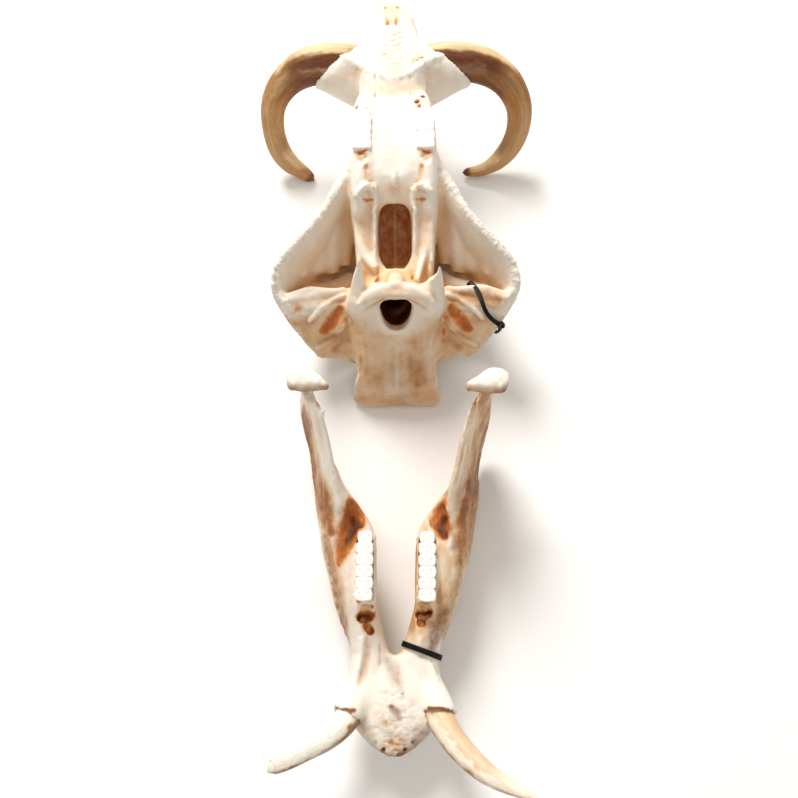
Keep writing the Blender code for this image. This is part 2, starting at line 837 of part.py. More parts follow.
def finish(obj, material):
    obj.data.materials.clear()
    obj.data.materials.append(material)
    obj.data.shade_smooth()
    obj.data.set_sharp_from_angle(angle=math.radians(50))


def build_cranium(skull):
    pieces = new_collection("cranium_pieces")
    face_bones(pieces)
    tusk_sheaths(pieces)
    braincase(pieces)
    cheek_arches(pieces)
    throat_plates(pieces)
    cranium = fuse("cranium", pieces, skull)
    blend(cranium, BLEND_VOXEL, 6)
    cutters = new_collection("cranium_cutters")
    cranium_hollows(cutters)
    boolean(cranium, cutters, "DIFFERENCE")
    blend(cranium, BLEND_VOXEL, 2)
    thin_out(cranium, CRANIUM_TRIANGLES)
    sockets = new_collection("cranium_sockets")
    for side, label in ((1, "left"), (-1, "right")):
        upper_tusk("tusk_socket_" + label, side, sockets, grow=GAP)
        upper_molar("molar_socket_" + label, side, sockets, grow=GAP)
    boolean(cranium, sockets, "DIFFERENCE")
    keep_largest(cranium)
    return cranium


def build_jaw(skull):
    pieces = new_collection("jaw_pieces")
    chin_and_body(pieces)
    jaw_branches(pieces)
    jaw = fuse("mandible", pieces, skull)
    blend(jaw, BLEND_VOXEL, 5)
    cutters = new_collection("jaw_cutters")
    jaw_hollows(cutters)
    boolean(jaw, cutters, "DIFFERENCE")
    blend(jaw, BLEND_VOXEL, 2)
    thin_out(jaw, JAW_TRIANGLES)
    sockets = new_collection("jaw_sockets")
    for side, label in ((1, "left"), (-1, "right")):
        lower_tusk("tusk_socket_" + label, side, sockets, grow=GAP)
        lower_molar("molar_socket_" + label, side, sockets, grow=GAP)
    boolean(jaw, sockets, "DIFFERENCE")
    keep_largest(jaw)
    return jaw


def main():
    clear_scene()
    skull = new_collection("warthog_skull")
    bone = new_material("bone", BONE_COLOUR, 0.6)
    ivory = new_material("upper_tusk_ivory", TUSK_COLOUR, 0.35)
    pale_ivory = new_material("lower_tusk_ivory", LOWER_TUSK_COLOUR, 0.35)
    enamel = new_material("tooth", TOOTH_COLOUR, 0.4)
    plastic = new_material("tie", TIE_COLOUR, 0.45)

    cranium = build_cranium(skull)
    jaw = build_jaw(skull)
    finish(cranium, bone)
    finish(jaw, bone)
    arch_tie = tie("arch_tie", cranium, ARCH_TIE_PLACE, ARCH_TIE_AXIS, ARCH_TIE_SWERVE, 3.6, 1.3, -8, skull)
    jaw_tie = tie("jaw_tie", jaw, JAW_TIE_PLACE, JAW_TIE_AXIS, JAW_TIE_SWERVE, 5.0, 1.3, 130, skull)
    finish(arch_tie, plastic)
    finish(jaw_tie, plastic)
    upper, lower = [cranium, arch_tie], [jaw, jaw_tie]
    for side, label in ((1, "left"), (-1, "right")):
        upper.append(upper_tusk("upper_tusk_" + label, side, skull))
        finish(upper[-1], ivory)
        upper.append(upper_molar("upper_molar_" + label, side, skull))
        finish(upper[-1], enamel)
        lower.append(lower_tusk("lower_tusk_" + label, side, skull))
        finish(lower[-1], pale_ivory)
        lower.append(lower_molar("lower_molar_" + label, side, skull))
        finish(lower[-1], enamel)
    for obj in upper:
        stand(obj, CRANIUM_PLACE, CRANIUM_TILT, CRANIUM_TURN)
    for obj in lower:
        stand(obj, JAW_PLACE, 0.0, JAW_TURN)
    for obj in (cranium, jaw, upper[2], upper[4]):
        rest_on_floor(obj)


main()
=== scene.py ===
"""Finishes the warthog skull: weathered bone with painted shade in its hollows and on faces turned from the light,
its crests, pits and rough edges, ridged tusks, cheek teeth built from worn pillars, and the two black ties, laid out
on a pale floor under studio light."""

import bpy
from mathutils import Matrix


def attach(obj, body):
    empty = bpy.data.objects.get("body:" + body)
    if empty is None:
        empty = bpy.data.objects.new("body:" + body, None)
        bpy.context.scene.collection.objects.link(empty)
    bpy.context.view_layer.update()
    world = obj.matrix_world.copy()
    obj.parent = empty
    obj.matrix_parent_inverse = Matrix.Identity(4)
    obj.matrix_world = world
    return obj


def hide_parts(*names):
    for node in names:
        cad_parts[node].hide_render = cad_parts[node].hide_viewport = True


bl_info = {
    "name": "Warthog Skull",
    "version": (1, 0, 0),
    "blender": (4, 5, 0),
    "location": "3D View > Sidebar > Skull",
    "description": "Builds and finishes a warthog's cranium, lower jaw, tusks, cheek teeth and ties",
    "category": "Object",
}

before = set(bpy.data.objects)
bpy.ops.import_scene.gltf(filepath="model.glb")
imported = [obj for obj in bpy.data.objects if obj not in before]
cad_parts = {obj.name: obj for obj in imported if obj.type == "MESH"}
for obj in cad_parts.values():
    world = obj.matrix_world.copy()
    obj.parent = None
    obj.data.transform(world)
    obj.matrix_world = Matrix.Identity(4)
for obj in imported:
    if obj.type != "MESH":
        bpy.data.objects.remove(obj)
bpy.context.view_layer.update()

import math
from types import SimpleNamespace

import bmesh
import bpy
import numpy as np
from bpy.props import FloatProperty, FloatVectorProperty, IntProperty, PointerProperty
from bpy.types import Operator, Panel, PropertyGroup
from mathutils import Matrix, Vector
from mathutils.bvhtree import BVHTree
from mathutils.geometry import convex_hull_2d

MM = 0.001
LAYOUT_CENTRE = (0.7, 19.8, 0.0)


def bone_axes(place, tilt, turn):
    """From a bone's own axes in millimetres to the frame in metres."""
    shift = Matrix.Translation((Vector(place) - Vector(LAYOUT_CENTRE)) * MM)
    turned = Matrix.Rotation(math.radians(turn), 4, "Z") @ Matrix.Rotation(math.radians(tilt), 4, "X")
    return shift @ turned @ Matrix.Scale(MM, 4)


CRANIUM_AXES = bone_axes((0.4, 71.0, 166.0), -8.1, 0.85)
JAW_AXES = bone_axes((-0.8, -344.0, 0.0), 0.0, -0.5)


class SkullSizes(PropertyGroup):
    """Sizes of the finish that a user would change."""

    bone_voxel: FloatProperty(
        name="Bone voxel", description="Grid that the bones are rebuilt on", default=0.00145, unit="LENGTH"
    )
    bone_faces: IntProperty(name="Bone triangles", description="Most triangles in one finished bone", default=190000)
    rough_height: FloatProperty(name="Rough edges", description="How far rough bone stands up", default=1.1)
    tusk_ridge: FloatProperty(
        name="Tusk ridges", description="Height of the ridges along a tusk", default=0.0011, unit="LENGTH"
    )
    tusk_sides: IntProperty(name="Tusk sides", description="Points round one tusk section", default=64)


def tint(name, description, default):
    """A colour that a user can change."""
    return FloatVectorProperty(name=name, description=description, default=default, size=3, subtype="COLOR")


class SkullColours(PropertyGroup):
    """Colours of bone, ivory, enamel and plastic."""

    ivory: tint("Ivory bone", "Clean bone", (0.79, 0.735, 0.65))
    # Tan also paints shade on the bone, and honey paints warm shade where it is closed in. Grime, rust, stain and
    # deep colour real dirt and stains, and also painted shade in the hinges, rear nostrils, spinal canal and deep
    # hollows.
    tan: tint("Tan bone", "Aged bone", (0.62, 0.42, 0.245))
    honey: tint("Honey", "Warm bone where it is closed in", (0.78, 0.50, 0.25))
    grime: tint("Grime", "Brown dirt on the bones", (0.22, 0.105, 0.050))
    rust: tint("Rust", "Orange stain round the brown ones", (0.56, 0.19, 0.042))
    stain: tint("Stain", "Brown stain in hollows", (0.27, 0.072, 0.014))
    deep: tint("Deep stain", "Almost black stain", (0.052, 0.013, 0.003))
    tusk_root: tint("Tusk root", "Dark end of an upper tusk", (0.125, 0.029, 0.005))
    tusk_shaft: tint("Tusk shaft", "Tan of an upper tusk", (0.46, 0.205, 0.045))
    tusk_pale: tint("Pale ivory", "Clean ivory", (0.83, 0.70, 0.50))
    enamel: tint("Enamel", "Tooth enamel", (0.90, 0.87, 0.80))
    dentine: tint("Dentine", "Worn centres of the pillars", (0.50, 0.44, 0.37))
    plastic: tint("Tie plastic", "Black nylon", (0.004, 0.004, 0.004))
    floor: tint("Floor", "Pale floor", (0.86, 0.86, 0.855))


def settings_of(group):
    return [name for name in group.bl_rna.properties.keys() if name not in ("rna_type", "name")]


def palette():
    """The colours as plain tuples."""
    colours = bpy.context.scene.skull_colours
    return SimpleNamespace(**{name: tuple(getattr(colours, name)) for name in settings_of(colours)})


def blend_of(one, two, share):
    return tuple((1 - share) * a + share * b for a, b in zip(one, two))


def times(colour, share):
    return tuple(share * c for c in colour)


# Nodes. A Wire is a node's output, and Nodes adds to a tree.


class Wire:
    """A node's output, so that sums and products of outputs read as plain arithmetic."""

    def __init__(self, nodes, socket):
        self.nodes, self.socket = nodes, socket

    def maths(self, operation, *values):
        return self.nodes("ShaderNodeMath", dict(enumerate((self, *values))), operation=operation)

    def __add__(self, other):
        return self.maths("ADD", other)

    def __sub__(self, other):
        return self.maths("SUBTRACT", other)

    def __mul__(self, other):
        return self.maths("MULTIPLY", other)

    def clipped(self):
        """The same sum or product, kept from 0 to 1."""
        self.socket.node.use_clamp = True
        return self


class Nodes:
    """Adds nodes to a tree: each call makes one, wires its inputs and gives back one of its outputs."""

    def __init__(self, tree):
        self.tree = tree

    def __call__(self, kind, inputs=None, output=0, **settings):
        made = self.tree.nodes.new(kind)
        for key, value in settings.items():
            setattr(made, key, value)
        self.feed(made, inputs or {})
        return Wire(self, made.outputs[output])

    def feed(self, node, inputs):
        for key, value in inputs.items():
            if isinstance(value, Wire):
                self.tree.links.new(value.socket, node.inputs[key])
            else:
                node.inputs[key].default_value = value

    def layer(self, name, output="Fac"):
        return self("ShaderNodeAttribute", output=output, attribute_name=name)

    def mix(self, amount, one, two):
        one, two = (colour if isinstance(colour, Wire) else (*colour, 1.0) for colour in (one, two))
        return self("ShaderNodeMix", {0: amount, 6: one, 7: two}, 2, data_type="RGBA")

    def ramp(self, amount, stops):
        """A colour, or a plain number, for each place along amount."""
        made = self("ShaderNodeValToRGB", {0: amount})
        elements = made.socket.node.color_ramp.elements
        elements[0].position, elements[1].position = stops[0][0], stops[-1][0]
        for position, _ in stops[1:-1]:
            elements.new(position)
        for element, (_, colour) in zip(elements, stops):
            element.color = (*(colour if isinstance(colour, tuple) else (colour,) * 3), 1.0)
        return made

    def noise(self, place, scale, detail=4.0, rough=0.55, stretch=None):
        if stretch:
            place = self("ShaderNodeMapping", {"Vector": place, "Scale": stretch})
        return self("ShaderNodeTexNoise", {"Vector": place, "Scale": scale, "Detail": detail, "Roughness": rough})

    def vector(self, operation, one, two):
        second = "Scale" if operation == "SCALE" else 1
        return self("ShaderNodeVectorMath", {0: one, second: two}, operation=operation)

    def capture(self, geometry, name, value):
        """Keeps a number on geometry, and gives back both."""
        node = self.tree.nodes.new("GeometryNodeCaptureAttribute")
        node.capture_items.new("FLOAT", name)
        self.feed(node, {0: geometry, 1: value})
        return Wire(self, node.outputs[0]), Wire(self, node.outputs[1])

    def end(self, geometry, material, lift=None):
        """Ends a tree: a surface moved along its normals, as real meshes with their material."""
        if lift:
            offset = self.vector("SCALE", self("GeometryNodeInputNormal"), lift)
            geometry = self("GeometryNodeSetPosition", {"Geometry": geometry, "Offset": offset})
        plain = self("GeometryNodeRealizeInstances", {0: geometry})
        finished = self("GeometryNodeSetMaterial", {"Geometry": plain, "Material": material})
        self.feed(self.tree.nodes.new("NodeGroupOutput"), {0: finished})
        return self.tree


def new_tree(title, inputs):
    """A tree of geometry nodes with inputs of (name, kind, default), and the wires out of them."""
    group = bpy.data.node_groups.new(title, "GeometryNodeTree")
    for name, kind, default in inputs:
        made = group.interface.new_socket(name, in_out="INPUT", socket_type="NodeSocket" + kind)
        if default is not None:
            made.default_value = default
    group.interface.new_socket("Geometry", in_out="OUTPUT", socket_type="NodeSocketGeometry")
    nodes = Nodes(group)
    given = group.nodes.new("NodeGroupInput").outputs
    return nodes, [Wire(nodes, given[k]) for k in range(len(inputs))]


def grow(obj, title, make, inputs):
    """Runs a tree of geometry nodes over an object and keeps the result as its plain mesh."""
    group = bpy.data.node_groups.get(title) or make(title)
    keys = {item.name: item.identifier for item in group.interface.items_tree if item.in_out == "INPUT"}
    modifier = obj.modifiers.new(title, "NODES")
    modifier.node_group = group
    for name, value in inputs.items():
        modifier[keys[name]] = value
    apply_modifiers(obj)


# Small helpers for meshes.


def dress(obj, material, node):
    """Gives a finished piece its material and its body, and hides the solid that it stands for."""
    obj.data.materials.clear()
    obj.data.materials.append(material)
    obj.data.shade_smooth()
    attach(obj, "root")
    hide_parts(node)


def new_object(name, mesh):
    obj = bpy.data.objects.new(name, mesh)
    bpy.context.scene.collection.objects.link(obj)
    return obj


def apply_modifiers(obj):
    bpy.context.view_layer.update()
    mesh = bpy.data.meshes.new_from_object(obj.evaluated_get(bpy.context.evaluated_depsgraph_get()))
    obj.modifiers.clear()
    old, obj.data = obj.data, mesh
    bpy.data.meshes.remove(old)


def numbers_of(items, field, width=3, kind=float):
    """One field of a mesh's points or edges, as rows of numbers."""
    values = np.empty(len(items) * width, dtype=kind)
    items.foreach_get(field, values)
    return values.reshape(-1, width)


def keep_layer(mesh, name, values):
    """Stores a number or a vector for each point of a mesh."""
    values = np.array(values, float)
    kind, field = ("FLOAT_VECTOR", "vector") if values.ndim > 1 else ("FLOAT", "value")
    mesh.attributes.new(name, kind, "POINT").data.foreach_set(field, values.ravel())


def paint(obj, layers):
    """Stores what a material reads at each point, from 0 to 1."""
    for name, values in layers.items():
        keep_layer(obj.data, name, np.clip(values, 0, 1))


def move_points(mesh, places):
    mesh.vertices.foreach_set("co", places.ravel())
    mesh.update()


def keep_above_floor(mesh):
    places = numbers_of(mesh.vertices, "co")
    places[:, 2] = np.maximum(places[:, 2], 0.0)
    move_points(mesh, places)


def spline(values, t):
    """A smooth curve through rows of numbers, at t from 0 to len(values) - 1."""
    rows = np.asarray(values, float)
    i = min(int(t), len(rows) - 2)
    f = t - i
    p, q, r, s = rows[max(i - 1, 0)], rows[i], rows[i + 1], rows[min(i + 2, len(rows) - 1)]
    return 0.5 * (2 * q + (r - p) * f + (2 * p - 5 * q + 4 * r - s) * f * f + (3 * q - p - 3 * r + s) * f**3)


def directions(places, closed=False):
    """Which way a line of points runs at each of them."""
    count = len(places)
    for k in range(count):
        following = places[(k + 1) % count] if closed else places[min(k + 1, count - 1)]
        yield (following - places[k - 1 if closed else max(k - 1, 0)]).normalized()


def rise(values, start, width):
    """From 0 at start to 1 one width further on."""
    return np.clip((values - start) / width, 0, 1)


def lattice(points, seed):
    """Smooth random values from -1 to 1 on a grid of unit cells, the same on every run."""
    cell = np.floor(points).astype(np.int64)
    part = points - cell
    part = part * part * (3 - 2 * part)
    total = np.zeros(len(points))
    for corner in range(8):
        step = np.array([corner & 1, corner >> 1 & 1, corner >> 2])
        x, y, z = (cell + step).T
        mixed = (x * 73856093 ^ y * 19349663 ^ z * 83492791 ^ seed * 2654435761) & 0xFFFFFFFF
        mixed = (mixed ^ mixed >> 13) * 1274126177 & 0xFFFFFFFF
        mixed = (mixed ^ mixed >> 16) & 0xFFFF
        total += np.where(step, part, 1 - part).prod(axis=1) * (mixed / 32767.5 - 1)
    return total


def weathering(points, size, octaves=3, seed=1, stretch=(1, 1, 1)):
    """Layers of random values, the first with cells of this size in millimetres."""
    total, share = 0.0, 1.0
    for octave in range(octaves):
        total = total + share * lattice(points * np.array(stretch) / size + 19.7 * octave, seed + octave)
        size, share = size / 2.1, share * 0.5
    return total


def smoothed(mesh, values, rounds, share=0.6):
    """Values of a mesh's points, each moved towards the mean of its neighbours, a number of times."""
    count = len(mesh.vertices)
    a, b = numbers_of(mesh.edges, "vertices", 2, np.int64).T
    links = np.maximum(np.bincount(a, minlength=count) + np.bincount(b, minlength=count), 1)
    soft = np.array(values, float).reshape(count, -1)
    for _ in range(rounds):
        total = np.stack(
            [np.bincount(a, part[b], minlength=count) + np.bincount(b, part[a], minlength=count) for part in soft.T],
            axis=1,
        )
        soft = soft + np.asarray(share).reshape(-1, 1) * (total / links[:, None] - soft)
    return soft


class Clay:
    """A bone's surface as arrays in the bone's own axes, in millimetres, so that strokes can shape it."""

    def __init__(self, obj, axes):
        self.mesh = obj.data
        self.out = np.array(axes)
        self.back = np.array(axes.inverted())
        self.read()

    def read(self):
        self.points = numbers_of(self.mesh.vertices, "co") @ self.back[:3, :3].T + self.back[:3, 3]
        self.normals = numbers_of(self.mesh.vertex_normals, "vector") @ (self.out[:3, :3] / MM)

    def places(self):
        return self.points @ self.out[:3, :3].T + self.out[:3, 3]

    def write(self, places=None):
        move_points(self.mesh, self.places() if places is None else places)
        self.read()

    def near(self, path, sides=(1,), fall=1.0):
        """1 on a path of (x, y, z, reach) rows and 0 beyond their reach, on the sides asked for."""
        weight = np.zeros(len(self.points))
        for side in sides:
            rows = np.array(path, float)
            rows[:, 0] *= side
            if len(rows) == 1:
                rows = np.vstack([rows, rows + 1e-6])
            reach = rows[:, 3].max()
            low, high = rows[:, :3].min(axis=0) - reach, rows[:, :3].max(axis=0) + reach
            inside = np.flatnonzero(np.all((self.points > low) & (self.points < high), axis=1))
            spots = self.points[inside]
            best = np.zeros(len(spots))
            for a, b in zip(rows, rows[1:]):
                along = b[:3] - a[:3]
                t = np.clip((spots - a[:3]) @ along / max(along @ along, 1e-12), 0, 1)
                away = np.linalg.norm(spots - (a[:3] + t[:, None] * along), axis=1)
                best = np.maximum(best, 1 - away / (a[3] + t * (b[3] - a[3])))
            best = np.clip(best, 0, 1) ** fall
            weight[inside] = np.maximum(weight[inside], best * best * (3 - 2 * best))
        return weight

    def over(self, path, sides=(1,), fall=1.0):
        """Like near, but through the whole height of the bone: a path of (x, y, reach) rows seen from above."""
        solid = self.points
        self.points = solid * (1, 1, 0)
        weight = self.near([(x, y, 0.0, reach) for x, y, reach in path], sides, fall)
        self.points = solid
        return weight

    def along(self, path, sides=(1,)):
        """How far along a path each point lies, in millimetres."""
        far, best = np.zeros(len(self.points)), np.full(len(self.points), np.inf)
        for side in sides:
            rows = np.array(path, float)[:, :3] * (side, 1, 1)
            start = 0.0
            for a, b in zip(rows, rows[1:]):
                way = b - a
                size = np.linalg.norm(way)
                t = np.clip((self.points - a) @ way / size**2, 0, 1)
                away = np.linalg.norm(self.points - (a + t[:, None] * way), axis=1)
                nearer = away < best
                best[nearer] = away[nearer]
                far[nearer] = start + t[nearer] * size
                start += size
        return far

    def stroke(self, path, height, sides, towards):
        """Raises or presses the surface along a path, only where it faces the way asked for."""
        weight = self.near(path, sides) * height
        if towards is not None:
            way = np.array(towards, float) / np.linalg.norm(towards)
            weight = weight * np.clip(self.normals @ way * 2.0, 0, 1)
        self.raise_by(weight)

    def raise_by(self, lift):
        self.points = self.points + self.normals * lift[:, None]

    def relax(self, path, sides, rounds):
        """Melts hard corners of the surface near a path."""
        self.write(smoothed(self.mesh, self.places(), rounds, 0.6 * self.near(path, sides)))

    def stains(self, table):
        """The strongest of the stains in a table at each point."""
        stain = np.zeros(len(self.points))
        for amount, path, sides, fall in table:
            stain = np.maximum(stain, amount * self.near(path, sides, fall))
        return stain


def tube(body, rows, axes, sides=14):
    """A closed rounded rod through (x, y, z, radius) rows, as clay to add or as a cutter."""
    steps = (len(rows) - 1) * 4
    dense = [spline(rows, k / 4) for k in range(steps + 1)]
    places = [Vector(row[:3]) for row in dense]
    rings = []
    lean = Vector((0.31, 0.17, 0.94))
    for place, row, along in zip(places, dense, directions(places)):
        across = along.cross(lean).normalized()
        up = across.cross(along)
        ring = []
        for n in range(sides):
            angle = 2 * math.pi * n / sides
            spot = place + (across * math.cos(angle) + up * math.sin(angle)) * max(row[3], 0.4)
            ring.append(body.verts.new(axes @ spot))
        rings.append(ring)
    for ring, following in zip(rings, rings[1:]):
        for n in range(sides):
            m = (n + 1) % sides
            body.faces.new((ring[n], ring[m], following[m], following[n]))
    body.faces.new(rings[0][::-1])
    body.faces.new(rings[-1])


def write_body(body, mesh):
    """Turns a body's faces outwards and writes it into a mesh."""
    bmesh.ops.recalc_face_normals(body, faces=body.faces)
    body.to_mesh(mesh)
    body.free()
    return mesh


def solid_of(node, gap, axes=None):
    """A merged copy of a CAD node's mesh, in the frame or in a bone's axes."""
    body = bmesh.new()
    body.from_mesh(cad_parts[node].data)
    if axes is not None:
        bmesh.ops.transform(body, matrix=axes.inverted(), verts=body.verts)
    bmesh.ops.remove_doubles(body, verts=body.verts, dist=gap)
    return body


def rebuild(obj, voxel):
    remesh = obj.modifiers.new("grid", "REMESH")
    remesh.mode = "VOXEL"
    remesh.voxel_size = voxel


TOOL_VOXEL = 0.0008


def raw_bone(node, name, axes, added, cut):
    """A merged copy of a bone's solid with clay added and cut away, rebuilt on a fine even grid."""
    body = solid_of(node, 0.00001)
    mesh = bpy.data.meshes.new(name)
    body.to_mesh(mesh)
    body.free()
    bone = new_object(name, mesh)
    for kind, tubes in (("UNION", added), ("DIFFERENCE", cut)):
        body = bmesh.new()
        for rows, sides in tubes:
            for side in sides:
                tube(body, [(row[0] * side, *row[1:]) for row in rows], axes)
        tool = new_object(name + "_tool", write_body(body, bpy.data.meshes.new(name + "_tool")))
        rebuild(tool, TOOL_VOXEL)
        apply_modifiers(tool)
        modifier = bone.modifiers.new("tool", "BOOLEAN")
        modifier.operation, modifier.object, modifier.solver = kind, tool, "MANIFOLD"
        apply_modifiers(bone)
        bpy.data.objects.remove(tool, do_unlink=True)
    rebuild(bone, bpy.context.scene.skull_sizes.bone_voxel)
    smooth = bone.modifiers.new("smooth", "SMOOTH")
    smooth.factor, smooth.iterations = 0.5, 3
    apply_modifiers(bone)
    return bone


def thin_out(obj, faces):
    now = sum(len(face.vertices) - 2 for face in obj.data.polygons)
    if now > faces:
        obj.modifiers.new("decimate", "DECIMATE").ratio = faces / now
        apply_modifiers(obj)


def shade(mesh, rays=18, reach=0.09, every=7):
    """How closed in each point of a bone is, from 0 in the open to 1 in a deep hollow."""
    count = len(mesh.vertices)
    tree = BVHTree.FromPolygons([v.co for v in mesh.vertices], [tuple(p.vertices) for p in mesh.polygons])
    golden = math.pi * (3 - math.sqrt(5))
    ways = []
    for k in range(rays):
        z = 1 - (k + 0.5) / rays * 0.92
        ring = math.sqrt(1 - z * z)
        ways.append(Vector((ring * math.cos(golden * k), ring * math.sin(golden * k), z)))
    known, value = np.zeros(count), np.zeros(count)
    for index in range(0, count, every):
        vert = mesh.vertices[index]
        turn = vert.normal.to_track_quat("Z", "Y")
        start = vert.co + vert.normal * 0.0006
        blocked = 0.0
        for way in ways:
            spot = tree.ray_cast(start, turn @ way, reach)[3]
            if spot is not None:
                blocked += 1 - 0.6 * spot / reach
        known[index], value[index] = 1.0, blocked / rays
    spread = smoothed(mesh, np.stack([known, value * known], axis=1), 14, 0.8)
    return np.clip(spread[:, 1] / np.maximum(spread[:, 0], 1e-6), 0, 1)


def hollowness(mesh, rounds=12):
    """How far each point lies under the smoothed surface round it, in millimetres."""
    places = numbers_of(mesh.vertices, "co")
    under = smoothed(mesh, places, rounds) - places
    return (under * numbers_of(mesh.vertex_normals, "vector")).sum(axis=1) / MM


# Materials.


class Finish(Nodes):
    """A new material, built from the skull's own place in space."""

    def __init__(self, name, specular):
        self.material = bpy.data.materials.new(name)
        self.material.use_nodes = True
        super().__init__(self.material.node_tree)
        self.shader = self.tree.nodes["Principled BSDF"]
        self.shader.inputs["Specular IOR Level"].default_value = specular
        self.place = self("ShaderNodeTexCoord", output="Object")

    def done(self, colour, roughness, height=None, distance=0.0, strength=1.0):
        self.feed(self.shader, {"Base Color": colour, "Roughness": roughness})
        if height:
            relief = {"Height": height, "Distance": distance, "Strength": strength}
            self.feed(self.shader, {"Normal": self("ShaderNodeBump", relief)})
        return self.material


def bone_finish(paints):
    """Ivory that goes tan with patina and with painted shade where it is closed in and in creases, browner where the
    stain layer holds stains and painted shade, rough and porous at its edges.
    """
    nodes = Finish("weathered_bone", 0.2)
    ivory, tan, stain, deep = paints.ivory, paints.tan, paints.stain, paints.deep
    stained, rough, closed = nodes.layer("stain"), nodes.layer("rough"), nodes.layer("shade")
    mottle = nodes.noise(nodes.place, 24.0, 5.0)
    blotch = nodes.noise(nodes.place, 90.0, 6.0, 0.65)
    crust = nodes.noise(nodes.place, 240.0, 8.0, 0.65)
    fibres = nodes.noise(nodes.place, 420.0, 5.0, 0.6, (1.0, 0.16, 1.0))
    # Tan from patina and random tone, and painted shade: the shade layer and the hollow layer darken closed-in places
    # and creases.
    age_and_shade = (mottle - 0.5) * 0.7 + (blotch - 0.5) * 0.5 + closed * 0.25 - 0.02
    age_and_shade = age_and_shade + nodes.layer("patina") + (nodes.layer("hollow") - 0.5) * 2.4
    worn = [(0.0, ivory), (0.35, blend_of(ivory, tan, 0.4)), (0.75, tan), (1.0, blend_of(tan, stain, 0.55))]
    # Painted warm shade: honey where the bone is closed in.
    clean = nodes.mix((closed * 1.7 - 0.22).clipped(), nodes.ramp(age_and_shade, worn), paints.honey)
    uneven = (blotch - 0.5) * 0.6 + (fibres - 0.5) * 0.3
    depth = (uneven * (stained * 3.0).clipped() + stained).clipped()
    # These colours serve real stains and also the painted shade in the stain layer: in the rear nostrils, the spinal
    # canal, the hollow of the left hinge for the jaw, the deep fossa and the slope under the palate.
    dyes = [(0.14, paints.honey), (0.32, paints.rust), (0.58, stain), (0.8, blend_of(stain, deep, 0.75)), (1.0, deep)]
    colour = nodes.mix((depth * 2.6).clipped(), clean, nodes.ramp(depth, dyes))
    # The grime layer holds dirt and also a painted shadow in the hollow of the left hinge for the jaw.
    dirt_and_shade_amount = (nodes.layer("grime") * (blotch * 2.4 - 0.35)).clipped()
    colour = nodes.mix(dirt_and_shade_amount * 0.92, colour, paints.grime)
    pores = nodes("ShaderNodeTexVoronoi", {"Vector": nodes.place, "Scale": 560.0}, "Distance")
    pore = nodes.ramp(pores, [(0.05, 1.0), (0.34, 0.0)]) * ((rough + 0.1) * blotch)
    colour = nodes.mix((pore * 0.9).clipped(), colour, stain)
    height = fibres * 0.4 + crust * (rough * 2.6 + 0.4) - pore * 1.2
    return nodes.done(colour, blotch * 0.25 + 0.42 + rough * 0.15, height, 0.0009, 0.75)


def tusk_finish(name, stops, streak, roughness, facet_colour, band_colour):
    """Ivory with stains along its length: stops are (place from root to tip, colour)."""
    nodes = Finish(name, 0.35)
    grain = nodes.layer("grain", "Vector")
    length = nodes("ShaderNodeSeparateXYZ", {0: grain}, 2)
    streaks = nodes.noise(grain, 2.6, 6.0, 0.6, (1.0, 1.0, 2.6))
    fine = nodes.noise(grain, 14.0, 6.0, 0.65, (1.0, 1.0, 1.2))
    blotch = nodes.noise(nodes.place, 60.0, 5.0)
    colour = nodes.ramp(length + (streaks - 0.5) * streak + (blotch - 0.5) * 0.16, stops)
    lines = nodes.ramp(fine, [(0.40, 0.0), (0.70, 0.75)])
    colour = nodes.mix(lines, colour, times(stops[len(stops) // 2][1], 0.5))
    # The facet layer colours worn facets and also painted shade on the right lower tusk's root; the band layer
    # colours dark bands and brown edges, and on the lower tusks also painted shade.
    worn = nodes.layer("facet") * nodes.ramp(streaks, [(0.30, 0.55), (0.60, 1.0)])
    colour = nodes.mix(worn, colour, facet_colour)
    dirty = nodes.layer("band") * nodes.ramp(blotch, [(0.35, 0.65), (0.6, 1.0)])
    colour = nodes.mix(dirty, colour, band_colour)
    return nodes.done(colour, fine * 0.35 + (roughness - 0.12), fine * 0.6 + streaks * 0.8, 0.0007, 0.6)


def tooth_finish(paints):
    nodes = Finish("worn_enamel", 0.5)
    enamel, dentine, cream = paints.enamel, paints.dentine, blend_of(paints.enamel, paints.tan, 0.25)
    wear = nodes.layer("wear") + (nodes.noise(nodes.place, 300.0, 5.0) - 0.5) * 0.5
    stops = [(0.0, enamel), (0.35, cream), (0.8, blend_of(cream, dentine, 0.6)), (1.0, dentine)]
    return nodes.done(nodes.ramp(wear, stops), wear * 0.4 + 0.25, nodes.noise(nodes.place, 900.0, 6.0), 0.0003, 0.5)


def plastic_finish(paints):
    nodes = Finish("black_nylon", 0.16)
    scuff = nodes.noise(nodes.place, 240.0, 6.0, 0.7)
    colour = nodes.mix(nodes.ramp(scuff, [(0.5, 0.0), (0.8, 0.6)]), paints.plastic, times(paints.plastic, 1.6))
    return nodes.done(colour, scuff * 0.3 + 0.28, nodes.noise(nodes.place, 1500.0, 3.0), 0.0002, 0.3)


def floor_finish(paints):
    nodes = Finish("pale_floor", 0.2)
    return nodes.done(nodes.mix(nodes.noise(nodes.place, 30.0, 4.0), paints.floor, times(paints.floor, 0.97)), 0.7)


def finish_bone(node, name, axes, added, cut, sculpt, layers_of):
    """Rebuilds a bone from its solid, sculpts it, thins it out and stores what its material reads."""
    sizes = bpy.context.scene.skull_sizes
    bone = raw_bone(node, name, axes, added, cut)
    sculpt(Clay(bone, axes), sizes.rough_height)
    keep_above_floor(bone.data)
    thin_out(bone, sizes.bone_faces)
    paint(bone, {"hollow": 0.5 + 0.22 * hollowness(bone.data), **layers_of(Clay(bone, axes))})
    dress(bone, bpy.data.materials.get("weathered_bone") or bone_finish(palette()), node)


